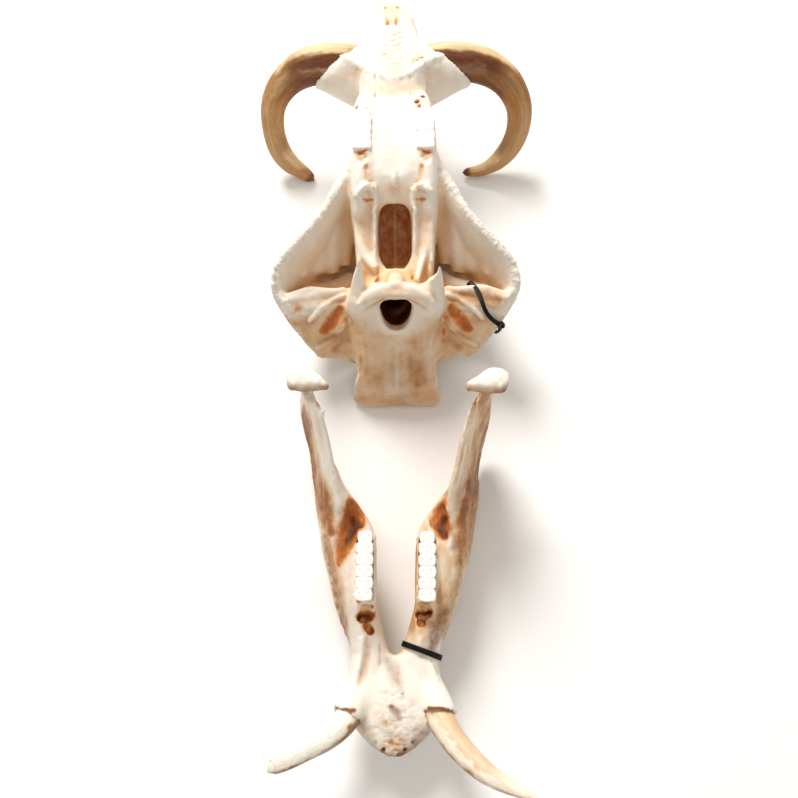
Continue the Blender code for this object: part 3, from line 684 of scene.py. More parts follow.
# The cranium. Strokes and tubes are in its own axes and millimetres: x to the animal's left, y to the snout,
# z towards the palate. A path is rows of (x, y, z, reach). Tubes are (path, sides), strokes are (path, height,
# sides, the way that the surface has to face) and stains are (amount, path, sides, fall).

BOTH, LEFT, RIGHT = (1, -1), (1,), (-1,)

ARCH_EDGE = [
    (40, 138, -18, 9), (57, 113, -22, 11), (69, 90, -25, 12), (83, 72, -30, 13), (101, 56, -37, 14),
    (115, 43, -46, 15), (121, 31, -53, 16), (120, 18, -64, 15), (111, 9, -81, 12), (99, 0, -101, 9),
    (89, -9, -120, 7), (78, -18, -133, 6),
]
CREST_EDGE = [
    (78, -18, -133, 6), (60, -18, -138, 6), (47, -28, -146, 6), (41, -38, -154, 6), (43, -48, -164, 6),
    (49, -56, -174, 7), (20, -60, -178, 7), (0, -60, -178, 7),
]

CRANIUM_ADDED = [
    ([(0, 62, -97, 8), (13, 60, -95, 7)], BOTH),
    ([(0, 54, -90, 7), (12, 53, -88, 6)], BOTH),
    ([(50, 31, -80, 3), (60, 28, -78.5, 3.4), (72, 27.5, -76.5, 3.6), (84, 28, -75, 3.4), (96, 24, -72, 2.6),
      (106, 19, -69, 1.8)], BOTH),
    ([(37, 97, -20, 2.6), (32, 103, -15, 3.6), (25, 106, -14, 3.2), (19.5, 103, -20, 2.4),
      (17.5, 95, -29, 2.0)], BOTH),
    ([(17.5, 95, -29, 2.2), (20, 90, -31, 2.2), (23, 89, -34, 1.4)], BOTH),
    ([(0, 44, -74, 7), (0, 34, -67, 8.5), (0, 24, -60, 9.5), (0, 14, -59, 8)], LEFT),
    ([(35.5, 80, -42, 2.0), (32, 68, -50, 2.8), (28, 54, -57, 3.4), (23, 38, -60, 3.6), (20, 26, -59, 3.0)], LEFT),
    ([(37, 94, -32, 1.8), (36.5, 76, -44, 2.0), (36, 60, -54, 2.0), (36, 48, -60, 1.8)], LEFT),
    ([(43.5, 12, -86, 6.5), (43.5, 21, -72, 5), (43, 28, -56, 3.2), (42.5, 31, -45, 1.8),
      (42.4, 32, -41, 0.7)], LEFT),
    ([(0, 120, -7, 2.4), (0, 112, -10, 2.6), (1, 104, -17, 1.6)], LEFT),
    ([(55, 3, -96, 6), (61, 4, -104, 9), (69, 5, -112, 7)], BOTH),
    ([(46, 76, -122, 12), (58, 72, -119, 13), (70, 66, -115, 13), (80, 58, -108, 11)], BOTH),
    ([(31, 90, -43.5, 5), (31, 80, -49.5, 6.2), (30, 66, -57.5, 6.2), (28, 54, -63, 6)], BOTH),
    ([(36, 74, -50, 3), (34, 66, -54, 5), (30, 58, -58, 5.6), (25, 50, -60, 5), (19, 42, -61, 4)], RIGHT),
    ([(20, 72, -84, 3), (18, 62, -86, 5), (15, 52, -84, 5)], BOTH),
    ([(20, 60, -62, 3), (17, 50, -65, 4.5), (13, 43, -68, 5)], BOTH),
    ([(0, 124, -72, 1.6), (0, 97, -91, 1.7), (0, 66, -96, 1.6)], LEFT),
    ([(44, 64, -112, 12), (54, 50, -112, 15), (68, 44, -110, 15), (82, 38, -103, 12), (94, 32, -93, 8)], BOTH),
    ([(35, 31, -42, 3.2), (35, 32, -36, 2.4), (35, 32.6, -32, 0.8)], RIGHT),
    ([(48, 132, -46, 10), (52, 108, -66, 12), (54, 88, -84, 12), (55, 72, -98, 10)], BOTH),
    ([(62, 112, -50, 11), (66, 92, -66, 12), (68, 74, -84, 12), (67, 62, -98, 10)], BOTH),
    ([(76, 88, -62, 10), (80, 70, -76, 11), (82, 56, -88, 9)], BOTH),
    ([(92, 58, -68, 6), (94, 46, -78, 7)], BOTH),
]
CRANIUM_CUT = [
    ([(51, -74, -142, 11.5), (52, -64, -165, 11.5), (53.5, -53, -188, 11.5)], LEFT),
    ([(46, -77, -142, 11.5), (47, -66, -165, 11.5), (49, -56, -188, 11.5)], RIGHT),
    ([(33.5, 35, -32, 5.5), (34, 31, -44, 6.5), (34, 27, -54, 5)], LEFT),
    ([(6.6, 335, 3, 1.6), (6.4, 331, -6, 2.0)], BOTH),
    ([(5.2, 317, 4, 1.4), (4.6, 308, 3, 2.0), (4.4, 302, -3, 1.6)], BOTH),
    ([(0, 349, 0, 1.8), (0, 344, -8, 1.6)], LEFT),
    ([(15, 241, 1, 1.0), (19, 250, 0.5, 1.6), (25, 258, -2, 1.9), (31, 262, -5, 1.3)], LEFT),
    ([(24, 198, 5, 3.2), (24, 197, -6, 2.8)], LEFT),
    ([(30, 205, 4, 2.8), (30, 204, -5, 2.2)], LEFT),
    ([(26, 191, 5, 2.6), (26, 191, -5, 2.0)], LEFT),
    ([(36, 192, 3, 2.4), (36, 191, -5, 2.0)], RIGHT),
    ([(13, 149, -2, 1.4), (13.5, 143, -3, 1.6), (14, 139, -6, 1.4)], BOTH),
    ([(21.5, 181, 2, 1.5), (21.5, 168, 2, 1.5)], RIGHT),
    ([(28, 138, 2, 2.6), (32, 136, 0, 3.4), (35, 134, -2, 2.6)], BOTH),
    ([(26, 131, -1, 2.6), (30, 131, -3, 3.0)], BOTH),
    ([(27, 124, -5, 2.6), (25.5, 116, -8, 3.0), (24, 110, -12, 2.4)], BOTH),
    ([(31, 97, -22, 1.2), (27, 97, -24, 2.0), (22, 98, -25, 1.2)], BOTH),
    ([(40.5, 84, -38, 1.4), (40.5, 62, -50, 1.6), (40.5, 44, -60, 1.4)], LEFT),
    ([(8, 44, -58, 4.5), (10.5, 36, -57, 3.4), (12.5, 28, -56, 2.2)], BOTH),
]
CRANIUM_STROKES = [
    ([(34, 255, -6, 15), (50, 268, -12, 12), (72, 266, -23, 9)], 1.6, BOTH, (0, 0.2, 1)),
    ([(0, 226, 2, 5.5), (17, 236, 1, 5.5), (33, 255, -6, 6.5), (52, 271, -11, 7)], 2.0, BOTH, (0, 0, 1)),
    ([(0, 213, 1, 15), (16, 216, 0, 15), (34, 232, -8, 13)], -2.8, BOTH, (0, 0, 1)),
    ([(0, 196, 0, 20), (0, 150, -1, 22), (0, 128, -4, 20)], -2.8, BOTH, (0, 0, 1)),
    ([(19, 238, 1, 2.8), (18, 222, 0, 3.0), (18, 207, -1, 2.8)], -2.0, RIGHT, None),
    ([(15, 238, 1, 2.6), (14.5, 220, 0, 2.8), (15, 207, -1, 2.6)], 1.5, RIGHT, None),
    ([(18, 230, 1, 2.6), (18, 210, -1, 2.6)], -1.2, LEFT, None),
    ([(40, 0, -70, 4), (30, 10, -60, 7), (16, 16, -54, 8), (0, 19, -53, 7)], 2.2, BOTH, (0, 0, 1)),
    ([(35, -1, -76, 4), (25, 1, -68, 5), (12, 5, -60, 3)], -1.8, BOTH, (0, -1, 0.2)),
    ([(5, 10, -56, 4)], -2.2, BOTH, None),
    ([(86, 3, -91, 4), (76, 12, -85, 5), (64, 20, -82, 5), (51, 24, -80, 4)], 3.0, BOTH, (0, -0.5, 1)),
    ([(56, 20, -81, 7), (72, 20, -79, 7), (90, 16, -77, 8), (102, 12, -75, 6)], -2.2, BOTH, (0, -0.2, 1)),
    ([(47, 4, -95, 4), (56, -6, -107, 5), (69, -12, -114, 5), (80, -14, -118, 4)], 1.6, BOTH, (0, -1, 0.5)),
    ([(52, -9, -116, 8), (62, -14, -124, 8)], -1.6, BOTH, (0, -1, 0.5)),
    ([(0, -10, -92, 6), (0, -30, -110, 5), (0, -48, -140, 4)], 0.7, LEFT, (0, -1, 0.5)),
    ([(18, -12, -96, 13), (20, -34, -124, 14), (22, -50, -152, 12)], -0.7, BOTH, (0, -1, 0.5)),
    ([(36, -14, -100, 6), (33, -30, -118, 5), (34, -44, -140, 5)], 0.5, BOTH, (0, -1, 0.5)),
    ([(117, 36, -51, 3.5), (114, 22, -61, 4), (106, 13, -72, 4)], -2.2, RIGHT, None),
    ([(96, 8, -79, 7)], -1.3, RIGHT, None),
    ([(57, 12, -88, 7), (65, 4, -96, 9), (72, -3, -103, 7)], -2.2, BOTH, None),
    ([(30, 300, 1, 7), (24, 325, -1, 6)], -1.0, BOTH, None),
    ([(12, 300, 1, 5), (10, 322, 0, 5)], 0.8, BOTH, (0, 0, 1)),
    ([(46, 150, -30, 10), (50, 128, -40, 10)], -1.5, BOTH, (1, 0, 0.4)),
]
RUGAE = [(246, 13), (252, 15), (258, 15), (264.5, 14), (271.5, 13), (279, 11), (287, 9)]
CRANIUM_MELTED = [
    ([(42, 6, -84, 14), (41, -8, -100, 18), (43, -22, -124, 18), (44, -32, -146, 12)], BOTH, 140),
    ([(46, -46, -160, 20), (0, -50, -163, 20)], BOTH, 200),
]
CRANIUM_MELTED_AFTER_FLARE = [
    ([(56, 11, -90, 13), (66, 3, -100, 15), (75, -6, -108, 11)], BOTH, 160),
    ([(33, 27, -57, 10)], LEFT, 40),
    ([(96, 14, -76, 16), (60, 22, -84, 12)], BOTH, 30),
    ([(50, 118, -56, 22), (62, 84, -76, 24), (70, 62, -88, 18), (90, 52, -74, 12)], BOTH, 60),
    ([(30, 92, -36, 12), (30, 60, -56, 12), (18, 48, -66, 9)], BOTH, 24),
]
# Where the surface is knobbly: amount, path, sides.
CRANIUM_KNOBS = [
    (1.5, [(34, 100, -18, 13), (22, 106, -16, 11)], BOTH),
    (1.0, [(46, 24, -80, 10), (62, 20, -84, 7)], LEFT),
    (0.6, [(46, 24, -80, 10)], RIGHT),
    (0.6, [(0, 300, 1, 22), (0, 270, 1, 26), (18, 256, 0, 24)], BOTH),
    (0.55, [(80, 14, -80, 16), (60, 8, -94, 16), (98, 8, -80, 12)], BOTH),
    (0.9, [(0, 226, 2, 8), (17, 236, 1, 8), (33, 255, -6, 9), (52, 271, -11, 9)], BOTH),
]


def flare_crest(clay):
    """Spreads the crest behind the skull towards both of its lower corners."""
    x, y, z = clay.points.T
    out = np.exp(-(((y + 47) / 9) ** 2)) * rise(np.abs(x), 20, 20) * rise(-z, 118, 16)
    clay.points[:, 0] += np.sign(x) * np.where(x > 0, 4.6, 5.6) * out
    clay.write()


def sculpt_cranium(clay, rough_height):
    for row in CRANIUM_MELTED:
        clay.relax(*row)
    flare_crest(clay)
    for row in CRANIUM_MELTED_AFTER_FLARE:
        clay.relax(*row)
    for row in CRANIUM_STROKES:
        clay.stroke(*row)
    for y, arm in RUGAE:
        groove = [(0, y, 1, 2.1), (0.5 * arm, y + 2, 1, 2.1), (arm, y + 6.5, 0, 1.6)]
        fold = [(0, y + 3, 1, 2.0), (0.5 * arm, y + 5, 1, 2.0), (arm, y + 9, 0, 1.6)]
        clay.stroke(groove, -0.8, BOTH, (0, 0, 1))
        clay.stroke(fold, 0.35, BOTH, (0, 0, 1))
    clay.write()
    edge, crest = clay.near(ARCH_EDGE, BOTH), clay.near(CREST_EDGE, BOTH)
    x, y, z = clay.points.T
    combed = np.stack([clay.along(ARCH_EDGE, BOTH) + 300 * (x > 0), 0.12 * z, 0.08 * y], axis=1)
    ribs = 1 - 2 * np.abs(weathering(combed, 3.4, 3, 31))
    flakes = 1 - 1.6 * np.abs(weathering(clay.points, 9.0, 5, 11))
    pits = weathering(clay.points, 3.0, 3, 5)
    lift = rough_height * (edge * (0.42 * ribs + 0.7 * flakes + 0.4 * pits) + crest * (0.4 * flakes + 0.3 * pits))
    lift += 0.25 * weathering(clay.points, 17.0, 4, 3)
    knobs = sum(amount * clay.near(path, sides) for amount, path, sides in CRANIUM_KNOBS)
    clay.raise_by(lift + np.clip(knobs, 0, 1) * (0.9 * flakes + 0.6 * pits))
    clay.write()


CRANIUM_STAINS_AND_SHADE = [
    (0.46, [(55, 13, -88, 8), (64, 5, -96, 12), (72, -3, -103, 9)], BOTH, 0.7),
    # Painted shadow in the hollow of the left hinge for the jaw.
    (0.22, [(58, 24, -78, 6), (78, 22, -77, 9), (94, 19, -74, 10), (104, 14, -73, 8)], LEFT, 0.8),
    (0.20, [(33, 92, -36, 9), (32, 76, -47, 12), (28, 62, -57, 10)], BOTH, 0.8),
    (0.22, [(24, 56, -60, 8), (20, 48, -62, 6)], LEFT, 0.8),
    # Painted shade on the slope under the palate's rear edge.
    (0.14, [(8, 107, -22, 12), (8, 103, -34, 14)], BOTH, 0.8),
    (0.24, [(24, 198, -3, 8), (27, 190, -2, 8)], LEFT, 0.8),
    (0.35, [(47, -2, -106, 7), (50, -6, -112, 6)], LEFT, 1.0),
    (0.35, [(96, 8, -79, 8)], RIGHT, 1.0),
    (0.34, [(6.5, 332, -3, 5)], BOTH, 0.7),
    (0.34, [(5, 314, 0, 4.5), (4.6, 305, 0, 4.5)], BOTH, 0.7),
    (0.16, [(0, 330, 0, 16), (0, 308, 0, 12)], LEFT, 1.0),
    (0.66, [(15, 241, -1, 2.4), (20, 250, -2, 3), (31, 262, -6, 2.8)], LEFT, 0.7),
    (0.5, [(24, 198, -3, 5), (30, 205, -3, 4), (26, 191, -3, 4)], LEFT, 0.7),
    (0.4, [(36, 192, -2, 4.5)], RIGHT, 0.7),
    (0.22, [(22, 168, 0, 3), (22, 182, 0, 3)], RIGHT, 1.0),
    (0.4, [(13.5, 147, -4, 3), (14, 139, -5, 3)], BOTH, 1.0),
    (0.34, [(28, 137, 0, 6), (34, 135, -3, 7)], BOTH, 0.8),
    (0.26, [(27, 124, -6, 6), (24, 110, -12, 6)], BOTH, 1.0),
    (0.42, [(30, 97, -23, 3), (26, 97, -25, 5), (21, 98, -25, 3)], BOTH, 1.0),
    (0.30, [(50, 6, -96, 8)], BOTH, 1.0),
    # More painted shade on the middle of the slope under the palate's rear edge.
    (0.22, [(0, 106, -22, 15), (0, 104, -36, 16)], LEFT, 0.8),
    # Painted shade deep in the right temporal fossa.
    (0.20, [(48, 66, -98, 10), (56, 52, -98, 13), (70, 46, -96, 12), (84, 40, -90, 9)], RIGHT, 0.8),
    (0.12, [(90, 2, -100, 12), (76, -10, -124, 12)], BOTH, 1.0),
    (0.16, [(45, -46, -160, 8)], BOTH, 1.0),
]
SHELTERED = [(0, 100, -84, 44), (44, 74, -112, 34), (72, 54, -100, 32), (60, 84, -60, 30), (58, 108, -34, 30)]
THROAT = [(30, 92, -36, 18), (28, 70, -50, 18), (20, 50, -64, 16)]


def cranium_stain_and_shade(clay):
    """The stains and painted shade of the table, the painted brown shade inside the rear nostrils and the painted
    dark shade in the spinal canal.
    """
    x, y, z = clay.points.T
    # Painted shade: brown inside the rear nostrils, lighter along the vomer and towards the back.
    nostril = (np.abs(x) < 19.5) * (z < -40) * (z > -100) * (y > 26) * (y < 150) * rise(-z, 46, 20)
    nostril = nostril * (1 - clay.near([(0, 46, -72, 14), (0, 20, -56, 15)], LEFT, 0.5)) * rise(-np.abs(x), -22, 4)
    vomer = np.exp(-((x / 1.6) ** 2))
    # Painted shade: dark inside the spinal canal.
    canal = rise(y, 3.0 + 0.35 * (z + 75), 3.0) * (np.abs(x) < 21) * (z < -63.5) * (z > -150) * (y < 70)
    canal = canal * ((y < 46) | (z < -104)) * clay.near([(0, 10, -76, 30), (0, 60, -112, 30)], fall=0.2)
    nostril = nostril * (0.31 - 0.10 * vomer - 0.04 * rise(-y, -100, 40))
    return np.maximum.reduce([clay.stains(CRANIUM_STAINS_AND_SHADE), nostril, canal])


def cranium_patina_and_shade(clay):
    """Where the cranium is tan, mostly as painted shade: the inner faces of the arches, faces turned back, the hinge
    for the jaw, the snout tip's upward faces, the slope and flanges behind the snout and the muzzle's sides; tan in
    the throat, at the base and in patches behind.
    """
    x, y, z = clay.points.T
    nx, ny, nz = clay.normals.T
    ragged = 0.5 * weathering(clay.points, 6.0, 4, 61)
    rim = np.clip(1.6 * clay.near(ARCH_EDGE, BOTH) + ragged * 0.6, 0, 1)
    # Painted shade on the inner faces of the arches, kept off their lit rims.
    inner = np.clip(0.9 - 2.0 * nx * np.sign(x), 0, 1) * (np.abs(x) > 42) * rise(y, 22, 8)
    inner = inner * rise(-z, 16, 8) * (1 - rim) * rise(-y, -140, 25)
    # Tan on faces turned back: partly the occiput's own tone, partly painted shade away from the light.
    behind = np.clip(0.3 - 2.2 * ny, 0, 1) * rise(-z, 78, 14) * (0.8 + 0.25 * weathering(clay.points, 22.0, 4, 71))
    # Painted shadow in the hollows of the hinges for the jaw, stronger on the left.
    hinge = clay.near([(56, 18, -82, 10), (76, 18, -80, 12), (98, 12, -77, 13)], BOTH) * np.where(x > 0, 1.3, 0.6)
    # Painted shade on the upward faces of the snout tip, holding back their highlight.
    snout = rise(y, 292, 30) * np.clip(nz * 2, 0, 1) * (0.45 + 0.4 * weathering(clay.points, 9.0, 4, 91))
    roof = 0.32 * clay.near([(0, 292, 1, 22), (0, 262, 1, 26), (0, 236, 1, 26)], LEFT)
    # Painted shade on the slope behind the snout and on the flanges beside it.
    trough = 0.4 * clay.near([(0, 214, 1, 16), (17, 214, 0, 16), (34, 230, -8, 14)], BOTH)
    flange = 0.3 * clay.near([(40, 246, -16, 20), (66, 258, -28, 20)], BOTH)
    base = 0.75 * clay.near([(0, 36, -62, 26), (0, 12, -56, 24), (30, 10, -62, 14)], BOTH)
    # Painted shade on the side walls of the muzzle.
    muzzle = 0.5 * clay.near([(30, 208, -1, 12), (35, 194, -5, 9)], BOTH)
    throat = 0.22 * clay.near(THROAT, BOTH)
    patches = 0.35 * clay.near([(30, -18, -108, 14), (32, -34, -130, 12)], RIGHT)
    tans = [0.16 * inner, 0.95 * behind, throat, hinge, snout, roof, trough, flange, base, muzzle]
    return np.maximum.reduce(tans) + patches


def cranium_layers(clay):
    sheltered = np.clip(clay.near(THROAT, BOTH) + clay.near(SHELTERED, BOTH), 0, 1)
    # Darker on the occiput, and a painted shadow in the hollow of the left hinge for the jaw.
    back = 0.2 * clay.near([(0, -36, -124, 34), (0, -50, -156, 36)])
    hinge = 0.6 * clay.near([(58, 24, -78, 6), (78, 22, -77, 9), (94, 19, -74, 11), (104, 14, -73, 9)])
    return {
        "stain": cranium_stain_and_shade(clay),
        "rough": clay.near(ARCH_EDGE, BOTH) + 0.5 * clay.near(CREST_EDGE, BOTH),
        "shade": shade(clay.mesh) * (1 - 0.6 * sheltered),
        "patina": cranium_patina_and_shade(clay),
        "grime": np.maximum(back, hinge),
    }


class SKULL_OT_cranium(Operator):
    """Finish the cranium with its crests, pits, rough edges and stains"""

    bl_idname = "skull.cranium"
    bl_label = "Cranium"

    def execute(self, context):
        finish_bone(
            "cranium", "cranium_bone", CRANIUM_AXES, CRANIUM_ADDED, CRANIUM_CUT, sculpt_cranium, cranium_layers
        )
        return {"FINISHED"}


# The lower jaw, in its own axes: x to the animal's left, y from the chin to the condyles, z up.

JAW_EDGE = [
    (26, 92, 5, 8), (34, 108, 5, 9), (43, 132, 2, 11), (53, 160, 2, 12), (63, 188, 2, 12), (72, 212, 3, 11),
    (78, 234, 4, 10), (81, 256, 6, 9), (86, 284, 14, 8), (92, 304, 32, 7),
]
JAW_OUTLINE = [
    (90, 302, 60, 9), (88, 280, 38, 10), (82, 251, 34, 11), (77, 236, 50, 10), (71, 216, 62, 9), (67, 192, 60, 8),
    (62, 167, 62, 7), (56, 132, 58, 6), (48, 104, 44, 6),
]
CHIN = [(0, 4, 44, 30), (0, 22, 50, 36), (0, 46, 52, 27)]
JAW_ADDED = [
    ([(31, 99, 50, 4), (31, 82, 46, 5.5), (35, 62, 47, 6), (42, 46, 52, 6)], BOTH),
    ([(51, 226, 88, 3.4), (51, 208, 80, 3.4), (51, 190, 75, 3.4), (50, 168, 72, 3)], LEFT),
    ([(66, 286, 130, 3.4), (68, 295, 137, 2.4), (70, 302, 141, 1.6), (71, 306, 142, 0.7)], LEFT),
    ([(68, 286, 132, 3), (66, 291, 138, 2.4), (63, 291, 140, 1.2)], RIGHT),
    ([(92, 312, 150, 6), (80, 314, 151, 5), (68, 313, 152, 5)], BOTH),
    ([(35.5, 189, 60, 3), (35.5, 189.5, 74, 2.6)], BOTH),
    ([(21.5, 189, 60, 3), (21.5, 189.5, 74, 2.6)], BOTH),
]
JAW_CUT = [
    ([(41, 220, 84, 4), (38, 213, 80, 7.5), (37, 204, 78, 9), (38, 197, 78, 8)], RIGHT),
    ([(42, 218, 84, 4), (40, 211, 80, 7.5), (39, 203, 78, 8.5), (40, 197, 78, 7)], LEFT),
    ([(32, 118.5, 69, 3.4), (31.5, 117, 60, 4.4), (30, 114, 49, 3.0)], RIGHT),
    ([(27.5, 118.5, 69, 3.4), (27.5, 117, 61, 4.0), (27, 115, 54, 2.8)], RIGHT),
    ([(22.5, 118.5, 69, 3.0), (22.5, 117.5, 62, 3.4), (23, 116, 56, 2.2)], RIGHT),
    ([(35, 133, 70.5, 1.4), (31, 129.5, 69, 1.9), (26, 127, 67.5, 2.2), (21.5, 126, 67, 2.4)], RIGHT),
    ([(34.5, 131, 70, 1.5), (33.5, 126, 67, 1.6)], RIGHT),
    ([(27, 109.5, 64, 1.8), (26.5, 108.5, 57, 2.0)], RIGHT),
    ([(23.5, 108, 64, 2.8), (23.5, 107, 57, 3.2), (23.5, 105, 50, 2.0)], RIGHT),
    ([(22, 104, 61, 1.6), (22, 103.5, 53, 1.8)], RIGHT),
    ([(20.5, 122, 69, 2.0), (20.5, 120.5, 60, 2.6), (21.5, 118, 52, 1.8)], LEFT),
    ([(24, 121.5, 62, 2.6), (24.5, 120, 57, 3.0), (25, 118, 52, 2.0)], LEFT),
    ([(32, 124, 69, 2.2), (31.5, 122, 60, 2.8), (30, 119, 51, 2.0)], LEFT),
    ([(28.5, 120.5, 68, 2.4), (28.5, 118.5, 60, 3.0), (28, 116, 52, 2.0)], LEFT),
    ([(24, 115, 66, 3.0), (23.5, 113.5, 58, 3.8), (23, 111, 48, 2.4)], LEFT),
    ([(26.5, 116, 65, 1.8), (26, 115, 56, 2.0)], LEFT),
    ([(22, 129, 68.5, 1.2), (25, 127, 67, 1.8), (29, 126.5, 67, 1.9), (34, 129.5, 68.5, 1.3)], LEFT),
    ([(44, 38.5, 54, 10.5), (45, 35, 54, 10.8), (49, 28, 57, 11.5), (57, 18, 62, 12)], RIGHT),
    ([(37.5, 40.5, 51, 11.8), (38.5, 37, 51, 12.2), (42, 30, 53.5, 12.5), (50, 18, 60, 12.8)], LEFT),
    ([(7, 51, 57, 1.4), (7, 51, 50, 1.2)], LEFT),
    ([(10, 0, 50, 2.6), (9, 8, 42, 2.0)], BOTH),
    ([(3.4, -4, 48, 2.4), (3.2, 5, 40, 1.8)], BOTH),
    ([(17, 6, 52, 2.2), (16, 12, 45, 1.8)], BOTH),
    ([(46, 117, 63, 1.4), (42, 116, 56, 1.2)], RIGHT),
    ([(46, 107, 56, 1.5), (42, 107, 48, 1.2)], RIGHT),
    ([(14, 94, 53, 1.0), (14, 90, 50, 1.0)], RIGHT),
    ([(73.5, 310, 143, 1.6), (74, 302, 136, 1.7), (73, 296, 124, 1.6)], LEFT),
]
JAW_STROKES = [
    ([(26, 131, 68, 9), (26, 118, 62, 10), (25, 104, 55, 7)], -2.2, BOTH, (0, 0, 1)),
    ([(26, 98, 55, 4), (26, 84, 52, 5), (28, 70, 51, 6), (32, 58, 52, 6)], -2.0, RIGHT, (0, 0, 1)),
    ([(31, 98, 55, 4), (31, 84, 52, 4), (33, 72, 51, 4)], 1.4, RIGHT, (0, 0, 1)),
    ([(26, 98, 55, 4), (25, 84, 52, 5)], -1.2, LEFT, (0, 0, 1)),
    ([(33, 80, 50, 3), (40, 66, 46, 4), (46, 54, 46, 4)], -1.8, LEFT, None),
    ([(0, 72, 50, 12), (0, 60, 50, 9)], -1.4, LEFT, (0, 0, 1)),
    ([(-3, 39, 54, 4), (2, 34, 54, 5), (5, 28, 54, 3)], -1.8, LEFT, (0, 0, 1)),
    ([(84, 303, 110, 4), (80, 288, 93, 4), (73, 262, 88, 4), (66, 238, 84, 5), (62, 222, 84, 5)], -2.0, BOTH, None),
    ([(80, 310, 118, 4), (72, 298, 116, 4), (66, 278, 110, 4)], 0.8, BOTH, None),
    ([(90, 306, 146, 4), (66, 306, 147, 4)], -1.8, BOTH, (0, -1, 0)),
    ([(82, 326, 155, 5), (78, 322, 156, 5)], -1.0, BOTH, (0, 0.3, 1)),
    ([(48, 150, 74, 9), (52, 176, 76, 9)], -0.9, BOTH, (0, 0, 1)),
    ([(55, 36, 52, 5), (60, 30, 48, 5)], 1.4, LEFT, None),
]
JAW_STAINS = [
    (0.30, [(98, 306, 146, 12), (84, 301, 147, 14), (70, 301, 148, 14), (60, 306, 149, 11)], BOTH, 0.6),
    (0.70, [(30, 38.9, 60, 2.4), (38, 38.9, 63, 2.6), (46, 38.9, 60, 2.8), (53, 37.8, 50, 2.8)], LEFT, 0.5),
    (0.70, [(36, 37, 62, 2.2), (44, 37, 63, 2.6), (53, 37, 52, 2.6)], RIGHT, 0.5),
    (0.92, [(40, 205, 72, 11), (37, 198, 71, 13), (42, 190, 74, 12), (46, 182, 75, 8)], RIGHT, 1.0),
    (0.52, [(40, 220, 84, 10), (40, 210, 76, 19), (43, 196, 75, 19), (48, 180, 77, 12),
            (52, 164, 76, 6)], RIGHT, 0.6),
    (0.92, [(44, 206, 73, 10), (41, 199, 73, 12), (45, 190, 74, 8)], LEFT, 1.0),
    (0.48, [(43, 219, 84, 9), (41, 209, 76, 17), (43, 198, 75, 15)], LEFT, 0.6),
    (0.95, [(31.5, 116, 56, 7), (24, 117, 57, 5)], RIGHT, 0.6),
    (0.62, [(31, 118, 60, 9), (22, 118, 60, 8)], RIGHT, 0.7),
    (0.44, [(35, 132, 70, 4), (28, 128, 67, 4), (21, 126, 66, 4)], RIGHT, 0.8),
    (0.80, [(26, 109, 58, 5.5), (23, 105, 54, 5)], RIGHT, 0.6),
    (0.92, [(21, 120, 56, 5), (31, 121, 56, 6), (28, 117, 56, 5)], LEFT, 0.6),
    (0.46, [(20, 121, 62, 6), (32, 121, 62, 7)], LEFT, 0.7),
    (0.78, [(24, 113, 55, 6)], LEFT, 0.6),
    (0.34, [(21, 129, 68, 4), (27, 126, 66, 4), (34, 129, 68, 4)], LEFT, 0.8),
]

JAW_GRIME = [
    (1.0, [(30, 38.6, 60, 3), (38, 38.6, 63, 3), (46, 38.6, 60, 3), (53, 37.6, 50, 3)], LEFT, 0.5),
    (1.0, [(36, 36.8, 62, 3), (44, 36.8, 63, 3), (53, 36.8, 52, 3)], RIGHT, 0.5),
    (0.5, [(50, 214, 84, 10), (55, 200, 80, 10), (56, 182, 77, 8)], RIGHT, 1.0),
    (0.9, [(52, 196, 78, 8), (54, 180, 77, 7)], LEFT, 1.0),
    (0.40, [(23, 102, 55, 5), (25, 86, 52, 6), (29, 68, 51, 7)], RIGHT, 1.0),
    (1.0, [(46, 122, 62, 12), (38, 108, 56, 14), (33, 92, 54, 10)], LEFT, 0.9),
    (0.55, [(-8, 80, 50, 10), (0, 70, 50, 13), (4, 56, 51, 8)], LEFT, 1.2),
    (0.9, [(-3, 39, 54, 4.5), (2, 34, 54, 6), (5, 28, 54, 3.5)], LEFT, 0.8),
    (0.9, [(7, 51, 55, 2.6)], LEFT, 0.8),
    (1.0, [(24, 17, 48, 13), (14, 5, 44, 10)], LEFT, 1.0),
    (0.7, [(29, 25, 50, 12), (18, 8, 46, 10)], RIGHT, 1.0),
    (1.0, [(10, 1, 46, 5), (0, -3, 43, 6), (17, 7, 45, 4)], BOTH, 0.8),
    (1.0, [(46, 117, 62, 3), (46, 107, 55, 3.5)], RIGHT, 0.8),
    (0.9, [(67, 198, 69, 3.5), (63, 186, 73, 3.5)], RIGHT, 0.8),
    (0.6, [(14, 93, 51, 2.4), (14, 84, 51, 2), (14, 76, 50, 2.4)], RIGHT, 0.8),
    (1.0, [(98, 306, 146, 12), (84, 301, 147, 14), (70, 301, 148, 14), (60, 306, 149, 11)], BOTH, 0.6),
    (0.8, [(84, 306, 140, 12), (84, 308, 120, 10)], BOTH, 1.0),
]

# Brown streaks down the outer side of each branch, seen from above: x, y, reach.
RIGHT_STREAK = [
    (91, 306, 7), (87, 290, 9), (84, 272, 10), (80, 250, 11), (75, 234, 13), (70, 220, 15), (65, 206, 12),
    (60, 192, 7),
]
LEFT_STREAK = [
    (92, 306, 14), (88, 288, 17), (83, 264, 17), (77, 244, 16), (69, 224, 18), (64, 208, 17), (60, 188, 11),
    (58, 166, 6),
]
BODY_STREAK = [(66, 190, 5), (60, 168, 7), (55, 140, 7), (50, 112, 6), (46, 94, 4)]


def brown_streaks(clay, fall):
    """The streaks down both branches."""
    return np.maximum(clay.over(RIGHT_STREAK, RIGHT, fall), clay.over(LEFT_STREAK, LEFT, fall))


def wider(path, share):
    """A path with a longer reach."""
    return [(*row[:-1], row[-1] * share) for row in path]


